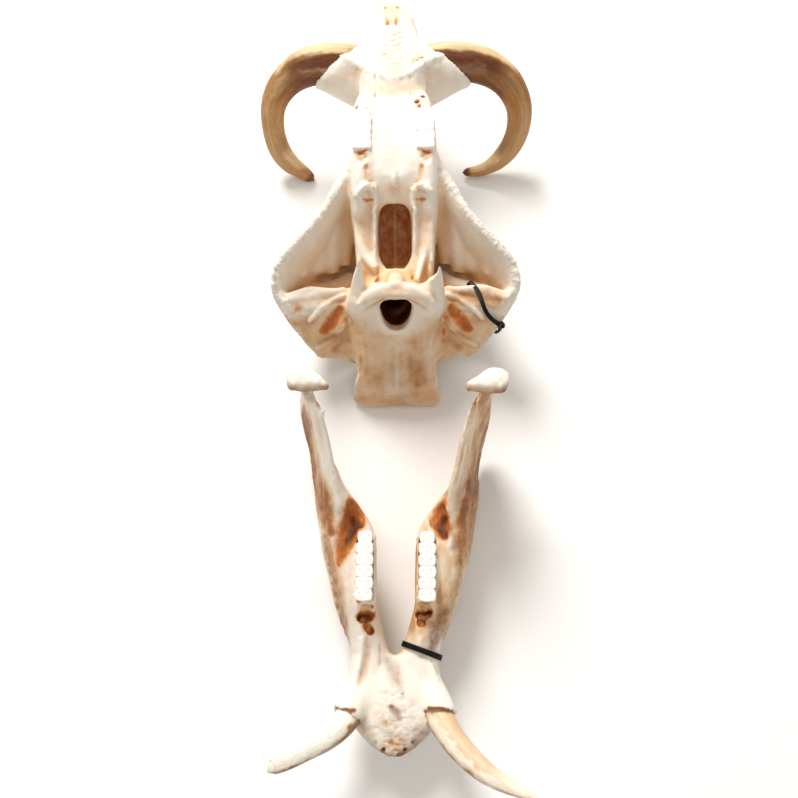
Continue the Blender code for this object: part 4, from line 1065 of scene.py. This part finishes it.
def jaw_layers(clay):
    """Tan, partly painted shade, with dirt and stains: low on the sides, along the outer borders, on the chin and
    down the branches; a painted highlight keeps a lit ridge and the condyle tops pale.
    """
    x, y, z = clay.points.T
    is_left = x > 0
    fine = np.clip(0.92 + 0.45 * weathering(clay.points, 11.0, 4, 101, (1.8, 0.28, 0.8)), 0.2, 1.2)
    streak = 0.41 * brown_streaks(clay, 0.8) * fine * (1 - rise(z, 118, 10))

    coarse = weathering(clay.points, 14.0, 4, 83, (1.6, 0.35, 0.6))
    chin_spots = 0.20 + 0.022 * (34 - y) + 0.6 * weathering(clay.points, 9.0, 4, 93)
    tans = [
        # The left branch much tanner than the right: partly painted shade on the side away from the light.
        rise(y, 150, 60) * np.where(is_left, 1.0, 0.30),
        rise(y, 84, 30) * np.where(is_left, 0.95, 0.22),
        0.35 * rise(-z, -62, 50) * rise(y, 70, 50),
        0.7 * clay.near(wider(JAW_OUTLINE, 2.0), BOTH),
        0.5 * clay.near([(31, 222, 78, 7), (30, 210, 73, 7), (33, 196, 70, 5)], BOTH),
        0.25 * clay.near([(44, 120, 62, 18), (40, 100, 54, 14)], LEFT),
        clay.near(CHIN) * np.clip(chin_spots, 0, 1),
    ]
    browns = np.maximum(brown_streaks(clay, 0.6), 0.9 * clay.over(wider(BODY_STREAK, 2.0), BOTH))
    patina = np.maximum(np.maximum.reduce(tans) * (0.9 + 0.5 * coarse), browns * (1.05 + 0.4 * coarse))
    # Painted highlight: the tan is kept off a lit ridge along the left branch, and off the condyles above z 150.
    ridge = clay.near([(62, 266, 114, 5), (52, 226, 92, 5), (51, 200, 80, 5), (50, 175, 74, 5)], LEFT)

    spots = np.clip(0.45 + 0.9 * weathering(clay.points, 8.0, 4, 95), 0, 1)
    dirt = [
        0.5 * clay.near([(0, 2, 44, 32), (0, 20, 50, 38), (0, 40, 52, 26)]) * rise(-y, -46, 24) * spots,
        brown_streaks(clay, 0.7) * fine * rise(-z, -124, 8),
        np.where(is_left, 0.35, 0.7) * clay.over(wider(BODY_STREAK, 1.7), BOTH) * fine,
        clay.stains(JAW_GRIME),
    ]
    return {
        "stain": np.maximum(streak, clay.stains(JAW_STAINS)),
        "rough": 0.8 * clay.near(JAW_EDGE, BOTH) + 0.5 * clay.near(CHIN),
        "shade": shade(clay.mesh),
        # Painted highlight on the left ridge and on the condyle tops.
        "patina": patina * (1 - 0.8 * ridge) * (1 - rise(z, 150, 3)),
        "grime": np.maximum.reduce(dirt),
    }


def sculpt_jaw(clay, rough_height):
    for row in JAW_STROKES:
        clay.stroke(*row)
    clay.write()
    edge = np.maximum(clay.near(JAW_EDGE, BOTH), 0.8 * clay.near(JAW_OUTLINE, BOTH))
    flakes = 1 - 1.6 * np.abs(weathering(clay.points, 9.0, 4, 23))
    wrinkles = 1 - 2 * np.abs(weathering(clay.points, 7.0, 5, 41, (0.8, 1.4, 1)))
    pits = weathering(clay.points, 3.0, 3, 9)
    lift = rough_height * (edge * (1.1 * flakes + 0.4 * pits) + clay.near(CHIN) * (0.8 * wrinkles + 0.15 * pits))
    ragged = clay.near(wider(JAW_OUTLINE, 1.3), BOTH)
    heads = clay.near([(96, 318, 150, 18), (62, 318, 150, 18)], BOTH)
    lift += ragged * 1.2 * weathering(clay.points, 6.0, 3, 55) + heads * 1.1 * weathering(clay.points, 9.0, 3, 57)
    clay.raise_by(lift + 0.25 * weathering(clay.points, 17.0, 4, 7))
    clay.write()


class SKULL_OT_jaw(Operator):
    """Finish the lower jaw with its pockets, empty sockets, rough chin and stained edges"""

    bl_idname = "skull.jaw"
    bl_label = "Lower Jaw"

    def execute(self, context):
        finish_bone("mandible", "jaw_bone", JAW_AXES, JAW_ADDED, JAW_CUT, sculpt_jaw, jaw_layers)
        return {"FINISHED"}


# The tusks: an oval section swept along a centre line by nodes, with ridges from root to tip. Centre lines are
# in millimetres. Upper: across, along the curl, radius. Lower: x, y, z, radius.

UPPER_TUSK_ROOT = Vector((0.0, 276.0, -27.0))
UPPER_TUSK_LEAN = math.radians(29.8)
TUSK_FLATNESS = 0.8
TUSK_END = 0.4
UPPER_TUSKS = {
    "right": [
        (-30, -4, 15), (-54, -4.5, 18), (-75, -1.5, 20), (-93, 3, 19.5), (-110, 13, 17), (-123.5, 28, 15),
        (-131, 46, 13.2), (-132, 70, 12.2), (-127, 91, 12.2), (-117, 106, 11.2), (-106, 114.5, 8.8),
        (-98, 121, 7), (-94, 124.5, 4.5),
    ],
    "left": [
        (30, -4, 15), (55, -4, 18), (77, -1.5, 19.5), (96, 2.5, 19), (114, 12, 17), (128, 26, 15.5),
        (137.5, 46, 14), (138.5, 69, 13), (132, 89, 12.2), (120, 104.5, 10.4), (106.5, 114, 7.8),
        (94, 118, 6.2), (84, 119, 4.6), (80.5, 119.2, 2.6),
    ],
}
LOWER_TUSKS = {
    "right": [
        (-28, 50, 36, 9), (-37, 38, 48, 11.6), (-47, 24.5, 56, 11.4), (-60, 14, 62, 10.6), (-76, 5.5, 70, 9.3),
        (-91, -2.2, 78, 8.0), (-102, -6.5, 84, 6.8), (-102.5, -6.7, 84.3, 6.0), (-102.8, -6.8, 84.5, 3.0),
        (-102.9, -6.9, 84.6, TUSK_END),
    ],
    "left": [
        (28, 50, 36, 9), (38, 36, 48, 12), (46, 22, 57, 11.8), (57.5, 7, 65, 10.9), (75, -8.5, 77, 9.4),
        (96, -19.5, 91, 6.6), (120, -28, 109, 1.4), (120.8, -28.3, 109.5, TUSK_END),
    ],
}


def tusk_tree(title):
    nodes, (line, sides, flatness, ridge_height, ridge_count, seed, material) = new_tree(title, [
        ("Centre Line", "Geometry", None), ("Sides", "Int", 48), ("Flatness", "Float", TUSK_FLATNESS),
        ("Ridge Height", "Float", 0.001), ("Ridge Count", "Float", 2.0), ("Seed", "Float", 0.0),
        ("Material", "Material", None),
    ])
    radius = nodes("GeometryNodeInputNamedAttribute", {0: "radius"}, data_type="FLOAT")
    thin = nodes("GeometryNodeInputNamedAttribute", {0: "thin"}, data_type="FLOAT_VECTOR")
    curve = nodes("GeometryNodeMeshToCurve", {0: line})
    curve = nodes("GeometryNodeSetCurveNormal", {"Curve": curve, "Normal": thin}, mode="FREE")
    curve = nodes("GeometryNodeSetCurveRadius", {"Curve": curve, "Radius": radius})
    curve, along = nodes.capture(curve, "Along", nodes("GeometryNodeSplineParameter", output="Factor"))
    circle = nodes("GeometryNodeCurvePrimitiveCircle", {"Resolution": sides, "Radius": 1.0})
    squash = nodes("ShaderNodeCombineXYZ", {0: flatness, 1: 1.0, 2: 1.0})
    oval = nodes("GeometryNodeTransform", {"Geometry": circle, "Scale": squash})
    oval, around = nodes.capture(oval, "Around", nodes("GeometryNodeSplineParameter", output="Factor"))
    swept = nodes("GeometryNodeCurveToMesh", {"Curve": curve, "Profile Curve": oval, "Fill Caps": True})
    if "Scale" in swept.socket.node.inputs:
        nodes.feed(swept.socket.node, {"Scale": radius})
    angle = around * (2 * math.pi)
    grain = nodes("ShaderNodeCombineXYZ", {0: angle.maths("COSINE"), 1: angle.maths("SINE"), 2: along})
    kept = {"Geometry": swept, "Name": "grain", "Value": grain}
    stored = nodes("GeometryNodeStoreNamedAttribute", kept, data_type="FLOAT_VECTOR", domain="POINT")
    ridges = nodes.noise(nodes.vector("ADD", grain, seed), ridge_count, 3.0, 0.5)
    return nodes.end(stored, material, (ridges - 0.5) * ridge_height)


def make_tusk(name, rows, thin, axes, material, seed, ridge_height, ridge_count):
    """One tusk from rows of (x, y, z, radius) in its bone's axes; thin is the way its oval is flat."""
    steps = (len(rows) - 1) * 12
    dense = np.array([spline(rows, k / 12) for k in range(steps + 1)])
    places = [axes @ Vector(row[:3]) for row in dense]
    mesh = bpy.data.meshes.new(name)
    mesh.from_pydata(places, [(k, k + 1) for k in range(steps)], [])
    keep_layer(mesh, "radius", np.maximum(dense[:, 3], 0.3) * MM)
    way = (axes.to_3x3() @ Vector(thin)).normalized()
    keep_layer(mesh, "thin", [(way - along * way.dot(along)).normalized() for along in directions(places)])
    obj = new_object(name, mesh)
    grow(obj, "Tusk", tusk_tree, {
        "Sides": bpy.context.scene.skull_sizes.tusk_sides, "Ridge Height": ridge_height,
        "Ridge Count": ridge_count, "Seed": seed, "Material": material,
    })
    return obj


def upper_rows(side):
    """An upper tusk's centre line in the cranium's axes, and the way in which its oval is flat."""
    down, back = math.cos(UPPER_TUSK_LEAN), math.sin(UPPER_TUSK_LEAN)
    curl = Vector((0, -back, -down))
    rows = []
    for across, along, radius in UPPER_TUSKS[side]:
        rows.append((*(UPPER_TUSK_ROOT + Vector((across, 0, 0)) + curl * along), radius))
    return rows + [(*rows[-1][:3], TUSK_END)], Vector((0, down, -back))


def curl_sides(clay, rows, inner_share):
    """Where an upper tusk is dark, inside its curl near the root, and where it is worn pale."""
    path = [(*row[:3], 1.0) for row in rows]
    along = clay.along(path)
    v = along / along.max()
    outward = clay.points - np.mean(np.array(path)[4:-2, :3], axis=0)
    outward[:, 1] = 0.5 * outward[:, 2]
    outward = outward / np.linalg.norm(outward, axis=1)[:, None]
    outer = (clay.normals * outward).sum(axis=1) + 0.16 * weathering(clay.points, 14.0, 4, 131)

    def span(low, high, soft=0.05):
        return np.clip((v - low) / soft + 0.5, 0, 1) * np.clip((high - v) / soft + 0.5, 0, 1)

    def stripe(middle, width):
        return np.exp(-(((outer - middle) / width) ** 2))

    pale = np.maximum.reduce([
        span(0, 0.40) * np.clip((outer - 0.48) / 0.2, 0, 1),
        0.6 * inner_share * span(0.06, 0.30) * stripe(0.0, 0.10),
        0.6 * inner_share * span(0.36, 0.80, 0.1) * stripe(0.22, 0.17),
        0.9 * span(0.80, 0.97) * np.clip((-0.05 - outer) / 0.25, 0, 1),
    ])
    dark = np.maximum.reduce([
        0.8 * span(0.08, 0.36) * stripe(0.24, 0.17),
        0.95 * span(0.14, 0.46, 0.12) * np.clip((-0.15 - outer) / 0.25, 0, 1),
        0.35 * span(0.42, 0.84) * np.clip((-0.3 - outer) / 0.4, 0, 1),
        0.8 * span(0.975, 2.0, 0.02),
    ])
    return dark, pale * (1 - dark)


class SKULL_OT_upper_tusks(Operator):
    """Sweep the two long curling upper tusks"""

    bl_idname = "skull.upper_tusks"
    bl_label = "Upper Tusks"

    def execute(self, context):
        ridge, paints = context.scene.skull_sizes.tusk_ridge, palette()
        root, shaft = paints.tusk_root, paints.tusk_shaft
        tan = blend_of(shaft, paints.tusk_pale, 0.2)
        stops = [(0.16, root), (0.36, blend_of(root, shaft, 0.4)), (0.52, shaft), (0.68, tan)]
        stops += [(0.88, blend_of(shaft, tan, 0.7)), (1.0, shaft)]
        material = tusk_finish("upper_tusk_ivory", stops, 0.5, 0.5, (0.74, 0.54, 0.30), root)
        for side, seed, inner_share, darkness in (("right", 3.0, 1.0, 1.0), ("left", 8.0, 0.35, 1.3)):
            name = "upper_tusk_" + side
            rows, thin = upper_rows(side)
            tusk = make_tusk(name + "_ivory", rows, thin, CRANIUM_AXES, material, seed, 2.2 * ridge, 1.6)
            keep_above_floor(tusk.data)
            band, facet = curl_sides(Clay(tusk, CRANIUM_AXES), rows, inner_share)
            paint(tusk, {"band": band * darkness, "facet": facet})
            dress(tusk, material, name)
        return {"FINISHED"}


def tusk_sides(clay, side):
    """Where a lower tusk is brown along its lower edge, with painted shade across its lower side and on the right
    one's root, and where it is worn to a duller facet above.
    """
    x, y, z = clay.points.T
    ragged = 0.22 * weathering(clay.points, 8.0, 3, 121)
    if side == "right":
        # Right tusk: the brown lower edge widens into painted shade towards the root, and the facet layer paints
        # orange shade on the root's lower side.
        lower = clay.normals @ np.array((0.42, -0.88, -0.2)) + ragged
        root = np.clip((x + 62) / 22, 0, 1)
        return np.clip((lower - 0.42 + 0.25 * root) / 0.16, 0, 1), 0.6 * root * np.clip(lower * 2 + 0.4, 0, 1)
    lower = clay.normals @ np.array((-0.5, -0.85, 0.0)) + ragged
    upper = clay.normals @ np.array((0.51, 0.86, 0.0)) + ragged
    fading = np.clip((104 - x) / 26, 0, 1)
    rim = np.clip((lower - 0.60) / 0.14, 0, 1) * (0.6 + 0.4 * np.clip((90 - x) / 30, 0, 1))
    # A brown rim on the lower edge, and broad painted shade across the lower side.
    band = np.maximum(rim, 0.32 * np.clip((lower - 0.28) / 0.2, 0, 1) * fading)
    return band, np.clip((upper + 0.12) / 0.16, 0, 1) * fading


class SKULL_OT_lower_tusks(Operator):
    """Sweep the two lower tusks: the right one broken off, the left one drawn to a point"""

    bl_idname = "skull.lower_tusks"
    bl_label = "Lower Tusks"

    def execute(self, context):
        ridge, paints = context.scene.skull_sizes.tusk_ridge, palette()
        shaft, pale, enamel = paints.tusk_shaft, paints.tusk_pale, paints.enamel
        cream, orange = blend_of(enamel, pale, 0.5), blend_of(shaft, pale, 0.42)
        stops = [(0.1, cream), (0.5, enamel), (1.0, cream)]
        clean = tusk_finish("clean_ivory", stops, 0.1, 0.3, orange, times(shaft, 0.6))
        stops = [(0.1, pale), (0.5, cream), (0.8, cream), (1.0, pale)]
        worn = tusk_finish("worn_ivory", stops, 0.15, 0.34, orange, times(shaft, 0.75))
        for side, seed, material in (("right", 5.0, clean), ("left", 11.0, worn)):
            name = "lower_tusk_" + side
            tusk = make_tusk(name + "_ivory", LOWER_TUSKS[side], (0, 0, 1), JAW_AXES, material, seed, ridge, 1.3)
            band, facet = tusk_sides(Clay(tusk, JAW_AXES), side)
            paint(tusk, {"band": band, "facet": facet})
            dress(tusk, material, name)
        return {"FINISHED"}


# The cheek teeth: worn pillars in a row, set out by nodes.

# Spots worn into a pillar's grinding face: place across, place along, radius, as shares of its width.
DIMPLES = ((-0.25, 0.04, 0.10), (0.23, 0.08, 0.10), (-0.10, -0.30, 0.08), (0.08, -0.30, 0.08))
UNEVENNESS = 0.00035
UPPER_TEETH = {
    "axes": CRANIUM_AXES, "start_y": 139, "length": 48, "width": 18.4, "low": -22, "high": 7, "lobes": 5,
    "worn_depth": 0.3, "corner": 9.0, "end_size": (0.9, 1.0, 0.4), "slope": 0.075,
}
LOWER_TEETH = {
    "axes": JAW_AXES, "start_y": 131, "length": 62, "width": 16.0, "low": 50, "high": 84, "lobes": 6,
    "worn_depth": 0.9, "corner": 3.6, "end_size": (0.86, 1.0, 0.985), "slope": 0.0,
}


def tooth_pillar(width, pitch, low, high, worn_depth, corner):
    """One lobe of a cheek tooth: a rounded column with worn dimples in its grinding face."""
    across, deep = 26, 18
    verts, faces, wear = [], [], []
    for j in range(deep + 1):
        for i in range(across + 1):
            u, v = 2 * i / across - 1, 2 * j / deep - 1
            x = u * math.sqrt(1 - v * v / corner) * width / 2
            y = v * math.sqrt(1 - u * u / (corner + 0.6)) * pitch / 2 * 1.1
            side = min(abs(u) / 0.45, 1.0) ** 2
            drop = max(abs(v) - 0.78, 0) / 0.22
            z = high - 3.0 / corner * drop**2 * (0.18 + 0.82 * side) - 1.3 * (max(abs(u) - 0.82, 0) / 0.18) ** 2
            worn = 1.6 / corner * drop * side
            for cx, cy, r in DIMPLES:
                away = math.hypot(1.35 * (x / width - cx), 0.8 * (y - cy * pitch) / width) / r
                z += worn_depth * (-0.55 * max(1 - away, 0) + 0.22 * math.exp(-((away - 1.15) ** 2) * 12))
                worn = max(worn, 1.1 * worn_depth * max(1 - away, 0))
            wear.append(worn)
            verts.append((x, y, z))
    row = across + 1
    for j in range(deep):
        for a in range(j * row, j * row + across):
            faces.append((a, a + 1, a + row + 1, a + row))
    rim = list(range(row)) + [k * row + across for k in range(1, deep + 1)]
    rim += [deep * row + i for i in range(across - 1, -1, -1)] + [k * row for k in range(deep - 1, 0, -1)]
    last = rim
    for z in (high - 5, low):
        ring = list(range(len(verts), len(verts) + len(rim)))
        verts += [(*verts[k][:2], z) for k in rim]
        wear += [0.3] * len(rim)
        for n in range(len(rim)):
            m = (n + 1) % len(rim)
            faces.append((last[m], last[n], ring[n], ring[m]))
        last = ring
    faces.append(last[::-1])
    mesh = bpy.data.meshes.new("pillar")
    mesh.from_pydata([(x * MM, y * MM, z * MM) for x, y, z in verts], [], faces)
    keep_layer(mesh, "wear", wear)
    body = bmesh.new()
    body.from_mesh(mesh)
    return write_body(body, mesh)


def tooth_tree(title):
    nodes, (pillar, lobes, pitch, unevenness, seed, material, end_size) = new_tree(title, [
        ("Pillar", "Geometry", None), ("Lobes", "Int", 6), ("Pitch", "Float", 0.0095),
        ("Unevenness", "Float", UNEVENNESS), ("Seed", "Int", 1), ("Material", "Material", None),
        ("End Size", "Vector", None),
    ])
    line = nodes("GeometryNodeMeshLine", {"Count": lobes, "Offset": nodes("ShaderNodeCombineXYZ", {1: pitch})})
    low, high = (nodes.vector("SCALE", way, unevenness) for way in ((-1.0, -0.2, -1.0), (1.0, 0.2, 0.6)))
    shaken = nodes("FunctionNodeRandomValue", {0: low, 1: high, "Seed": seed}, data_type="FLOAT_VECTOR")
    points = nodes("GeometryNodeSetPosition", {"Geometry": line, "Offset": shaken})
    is_last = nodes("GeometryNodeInputIndex").maths("COMPARE", lobes - 1.0, 0.1)
    whole = (1.0, 1.0, 1.0)
    size = nodes.vector("ADD", nodes.vector("SCALE", nodes.vector("SUBTRACT", end_size, whole), is_last), whole)
    placed = nodes("GeometryNodeInstanceOnPoints", {"Points": points, "Instance": pillar, "Scale": size})
    return nodes.end(placed, material)


def make_tooth(name, centre_x, shape, material, seed):
    """One cheek tooth: its pillar repeated along it, leaning by its slope and set in its bone."""
    tooth = SimpleNamespace(**shape)
    pitch = tooth.length / tooth.lobes
    pillar = tooth_pillar(tooth.width, pitch, tooth.low, tooth.high, tooth.worn_depth, tooth.corner)
    obj = new_object(name, pillar)
    grow(obj, "Cheek Tooth", tooth_tree, {
        "Lobes": tooth.lobes, "Pitch": pitch * MM, "Seed": seed, "Material": material, "End Size": tooth.end_size,
    })
    place = Vector((centre_x, tooth.start_y + pitch / 2, -tooth.slope * tooth.length)) * MM
    leaning = Matrix(((1, 0, 0, 0), (0, 1, 0, 0), (0, tooth.slope, 1, 0), (0, 0, 0, 1)))
    obj.data.transform(tooth.axes @ Matrix.Scale(1000, 4) @ Matrix.Translation(place) @ leaning)
    return obj


class SKULL_OT_cheek_teeth(Operator):
    """Set the four long cheek teeth in their sockets"""

    bl_idname = "skull.cheek_teeth"
    bl_label = "Cheek Teeth"

    def execute(self, context):
        material = tooth_finish(palette())
        for side, sign in (("right", -1), ("left", 1)):
            for row, shape, centre_x, seed in (("upper", UPPER_TEETH, 30.8, 4), ("lower", LOWER_TEETH, 28.5, 9)):
                tooth = make_tooth(f"{row}_tooth_{side}", sign * centre_x, shape, material, seed + sign)
                dress(tooth, material, f"{row}_molar_{side}")
        return {"FINISHED"}


# The ties: a strap with fine ridges swept by nodes along a taut loop round the bone, and its head.

# Each tie's place on its plane, the way it faces, how far it swerves and where, its width and its head's angle.
TIES = {
    "arch_tie": ("cranium", CRANIUM_AXES, (90.6, 17.9, -104.5), (0.80, 0.59, 0.11), (9.0, -64, 56), 4.2, -8),
    "jaw_tie": ("mandible", JAW_AXES, (23, 89, 26), (0.33, 0.94, 0.0), (0.0, 0, 90), 5.0, 130),
}
TIE_THICKNESS = 1.5
TIE_GAP = 0.6
TIE_STAND_OFF = TIE_GAP + TIE_THICKNESS / 2
LOOP_POINTS = 160
LOOP_RAYS = 180


def nearest_loop(body, centre):
    """The points of the one closed section in a cut body that lies nearest a place."""
    groups, left = [], set(body.verts)
    while left:
        group, front = [], [left.pop()]
        while front:
            vert = front.pop()
            group.append(vert.co.copy())
            for edge in vert.link_edges:
                other = edge.other_vert(vert)
                if other in left:
                    left.discard(other)
                    front.append(other)
        groups.append(group)
    return min(groups, key=lambda spots: (sum(spots, Vector()) / len(spots) - centre).length)


def outline_round(node, axes, origin, normal, width, depth):
    """Points of the bone's sections by planes across a tie, nearest the tie's own place, in its plane."""
    across = normal.cross(Vector((0, 0, 1))).normalized()
    up = normal.cross(across)
    found = []
    for step in range(9):
        centre = origin + normal * (width * 0.54 - (width * 1.08 + depth) * step / 8)
        body = solid_of(node, 0.01, axes)
        whole = body.verts[:] + body.edges[:] + body.faces[:]
        bmesh.ops.bisect_plane(body, geom=whole, plane_co=centre, plane_no=normal, clear_inner=True, clear_outer=True)
        group = nearest_loop(body, centre)
        body.free()
        found += [Vector(((p - origin).dot(across), (p - origin).dot(up))) for p in group]
    return [found[i] for i in convex_hull_2d(found)], across, up


def strap_tree(title):
    nodes, (loop, width, thickness, ridge_pitch, ridge_height, material) = new_tree(title, [
        ("Loop", "Geometry", None), ("Width", "Float", 0.0036), ("Thickness", "Float", 0.0013),
        ("Ridge Pitch", "Float", 0.0012), ("Ridge Height", "Float", 0.00012), ("Material", "Material", None),
    ])
    outward = nodes("GeometryNodeInputNamedAttribute", {0: "outward"}, data_type="FLOAT_VECTOR")
    line = nodes("GeometryNodeMeshToCurve", {0: loop})
    line = nodes("GeometryNodeResampleCurve", {"Curve": line, "Count": 4 * LOOP_POINTS})
    line = nodes("GeometryNodeSetCurveNormal", {"Curve": line, "Normal": outward}, mode="FREE")
    line, way = nodes.capture(line, "Way", nodes("GeometryNodeSplineParameter", output="Length"))
    section = nodes("GeometryNodeCurvePrimitiveQuadrilateral", {"Width": thickness, "Height": width})
    rounded = nodes("GeometryNodeFilletCurve", {"Curve": section, "Count": 3, "Radius": 0.0004}, mode="POLY")
    swept = nodes("GeometryNodeCurveToMesh", {"Curve": line, "Profile Curve": rounded})
    turns = way.maths("DIVIDE", ridge_pitch) * (2 * math.pi)
    return nodes.end(swept, material, turns.maths("SINE") * ridge_height)


def even_loop(spots, count, softness):
    """A closed loop resampled at even steps and softened."""
    rows = np.array([tuple(spot) for spot in spots])
    steps = np.linalg.norm(np.roll(rows, -1, axis=0) - rows, axis=1)
    way = np.concatenate([[0.0], np.cumsum(steps)])
    closed = np.vstack([rows, rows[:1]])
    marks = np.linspace(0.0, way[-1], count, endpoint=False)
    even = np.stack([np.interp(marks, way, column) for column in closed.T], axis=1)
    for _ in range(softness):
        even = 0.5 * even + 0.25 * (np.roll(even, 1, axis=0) + np.roll(even, -1, axis=0))
    return even


def tie_head(place, out, side, along, width):
    """The tie's small head with the tail's stub standing out of it, as a bevelled box and a tapering tongue."""
    body = bmesh.new()
    for size, shift, taper in (((4.8, 5.6, width + 1.4), 0.0, 1.0), ((3.6, 1.5, width * 0.8), 2.2, 0.6)):
        for vert in bmesh.ops.create_cube(body, size=1.0)["verts"]:
            thin = taper if vert.co.x > 0 else 1.0
            vert.co = Vector((vert.co.x * size[0] + shift, vert.co.y * size[1], vert.co.z * size[2] * thin))
    bmesh.ops.bevel(body, geom=body.edges[:], offset=0.45, segments=3, affect="EDGES", profile=0.5)
    turn = Matrix((out, side, along)).transposed().to_4x4()
    bmesh.ops.transform(body, matrix=Matrix.Translation(place) @ turn, verts=body.verts)
    bmesh.ops.recalc_face_normals(body, faces=body.faces)
    return body


def make_tie(name, material, node, axes, origin, normal, swerve, width, head_angle):
    """One tie: a loop drawn tight round its bone, swept to a ridged strap, and its head."""
    origin, normal = Vector(origin), Vector(normal).normalized()
    depth, middle, spread = swerve
    hull, across, up = outline_round(node, axes, origin, normal, width, depth)

    def touch(angle):
        ray = Vector((math.cos(angle), math.sin(angle)))
        return max(hull, key=lambda point: point.dot(ray)), ray

    spots = []
    for n in range(LOOP_RAYS):
        spot, ray = touch(2 * math.pi * n / LOOP_RAYS)
        aside = (math.degrees(math.atan2(spot.y, spot.x)) - middle + 180) % 360 - 180
        bend = depth * math.cos(math.pi / 2 * min(abs(aside) / spread, 1.0)) ** 2
        spot = spot + ray * TIE_STAND_OFF
        spots.append(origin + across * spot.x + up * spot.y - normal * bend)
    places = [axes @ Vector(spot) for spot in even_loop(spots, LOOP_POINTS, 24)]
    centre = sum(places, Vector()) / LOOP_POINTS
    outward = []
    for place, way in zip(places, directions(places, closed=True)):
        out = way.cross(axes.to_3x3() @ normal).normalized()
        outward.append(out if out.dot(place - centre) > 0 else -out)
    mesh = bpy.data.meshes.new(name)
    mesh.from_pydata(places, [(k, (k + 1) % LOOP_POINTS) for k in range(LOOP_POINTS)], [])
    keep_layer(mesh, "outward", outward)
    obj = new_object(name + "_strap", mesh)
    grow(obj, "Tie Strap", strap_tree, {"Width": width * MM, "Thickness": TIE_THICKNESS * MM, "Material": material})
    angle = math.radians(head_angle)
    spot, ray = touch(angle)
    spot = spot + ray * (TIE_STAND_OFF + 2.4)
    out = across * math.cos(angle) + up * math.sin(angle)
    side = across * -math.sin(angle) + up * math.cos(angle)
    body = tie_head(origin + across * spot.x + up * spot.y, out, side, normal, width)
    bmesh.ops.transform(body, matrix=axes, verts=body.verts)
    body.from_mesh(obj.data)
    body.to_mesh(obj.data)
    body.free()
    return obj


class SKULL_OT_ties(Operator):
    """Draw the two black ties tight round the left cheek arch and the left side of the jaw"""

    bl_idname = "skull.ties"
    bl_label = "Ties"

    def execute(self, context):
        material = plastic_finish(palette())
        for name, row in TIES.items():
            dress(make_tie(name, material, *row), material, name)
        return {"FINISHED"}


# The stage.

CAMERA_PLACE = Vector((0.0027, -0.2754, 0.8629))
CAMERA_AIM = Vector((0.0027, -0.0198, 0.0))
LENS, SENSOR = 38.28, 36.0
FLOOR_HALF = 6.0
SKY_COLOUR, SKY_STRENGTH = (1.0, 0.95, 0.89, 1.0), 0.62
LAMP_SIZE = 1.4
# Each lamp's place, what it shines on, its watts and its colour.
LAMPS = {
    "key_light": ((-0.9, 2.45, 2.25), (0, 0.05, 0.05), 150.0, (1.0, 0.98, 0.95)),
    "fill_light": ((0.5, -1.4, 1.2), (0, 0, 0.05), 3.0, (1.0, 0.95, 0.88)),
}


def aimed(obj, place, target):
    """Puts a lamp or the camera in its place and turns it to its target."""
    bpy.context.scene.collection.objects.link(obj)
    obj.location = place
    obj.rotation_euler = (Vector(target) - obj.location).to_track_quat("-Z", "Y").to_euler()
    return obj


class SKULL_OT_stage(Operator):
    """Lay the pale floor and set up the studio lights and the camera"""

    bl_idname = "skull.stage"
    bl_label = "Stage"

    def execute(self, context):
        body = bmesh.new()
        bmesh.ops.create_grid(body, x_segments=8, y_segments=8, size=FLOOR_HALF)
        mesh = bpy.data.meshes.new("floor")
        body.to_mesh(mesh)
        body.free()
        floor = new_object("floor", mesh)
        floor.data.materials.append(floor_finish(palette()))
        for name, (place, target, watts, colour) in LAMPS.items():
            lamp = bpy.data.lights.new(name, "AREA")
            lamp.shape, lamp.size, lamp.energy, lamp.color = "DISK", LAMP_SIZE, watts, colour
            aimed(bpy.data.objects.new(name, lamp), place, target)
        world = bpy.data.worlds.new("studio")
        world.use_nodes = True
        sky = world.node_tree.nodes["Background"].inputs
        sky[0].default_value, sky[1].default_value = SKY_COLOUR, SKY_STRENGTH
        context.scene.world = world
        context.scene.view_settings.view_transform = "Standard"
        data = bpy.data.cameras.new("camera")
        data.lens, data.sensor_width = LENS, SENSOR
        context.scene.camera = aimed(bpy.data.objects.new("camera", data), CAMERA_PLACE, CAMERA_AIM)
        return {"FINISHED"}


class SKULL_PT_panel(Panel):
    """Buttons and settings for the skull"""

    bl_label = "Warthog Skull"
    bl_space_type = "VIEW_3D"
    bl_region_type = "UI"
    bl_category = "Skull"

    def draw(self, context):
        for operator in OPERATORS:
            self.layout.operator(operator.bl_idname)
        for group in (context.scene.skull_sizes, context.scene.skull_colours):
            for name in settings_of(group):
                self.layout.prop(group, name)


OPERATORS = (
    SKULL_OT_stage,
    SKULL_OT_cranium,
    SKULL_OT_jaw,
    SKULL_OT_upper_tusks,
    SKULL_OT_lower_tusks,
    SKULL_OT_cheek_teeth,
    SKULL_OT_ties,
)
CLASSES = (SkullSizes, SkullColours, *OPERATORS, SKULL_PT_panel)


def register():
    for cls in CLASSES:
        bpy.utils.register_class(cls)
    bpy.types.Scene.skull_sizes = PointerProperty(type=SkullSizes)
    bpy.types.Scene.skull_colours = PointerProperty(type=SkullColours)


def unregister():
    del bpy.types.Scene.skull_colours
    del bpy.types.Scene.skull_sizes
    for cls in reversed(CLASSES):
        bpy.utils.unregister_class(cls)


def main():
    register()
    bpy.ops.skull.stage()
    bpy.ops.skull.cranium()
    bpy.ops.skull.jaw()
    bpy.ops.skull.upper_tusks()
    bpy.ops.skull.lower_tusks()
    bpy.ops.skull.cheek_teeth()
    bpy.ops.skull.ties()


if __name__ == "__main__":
    main()
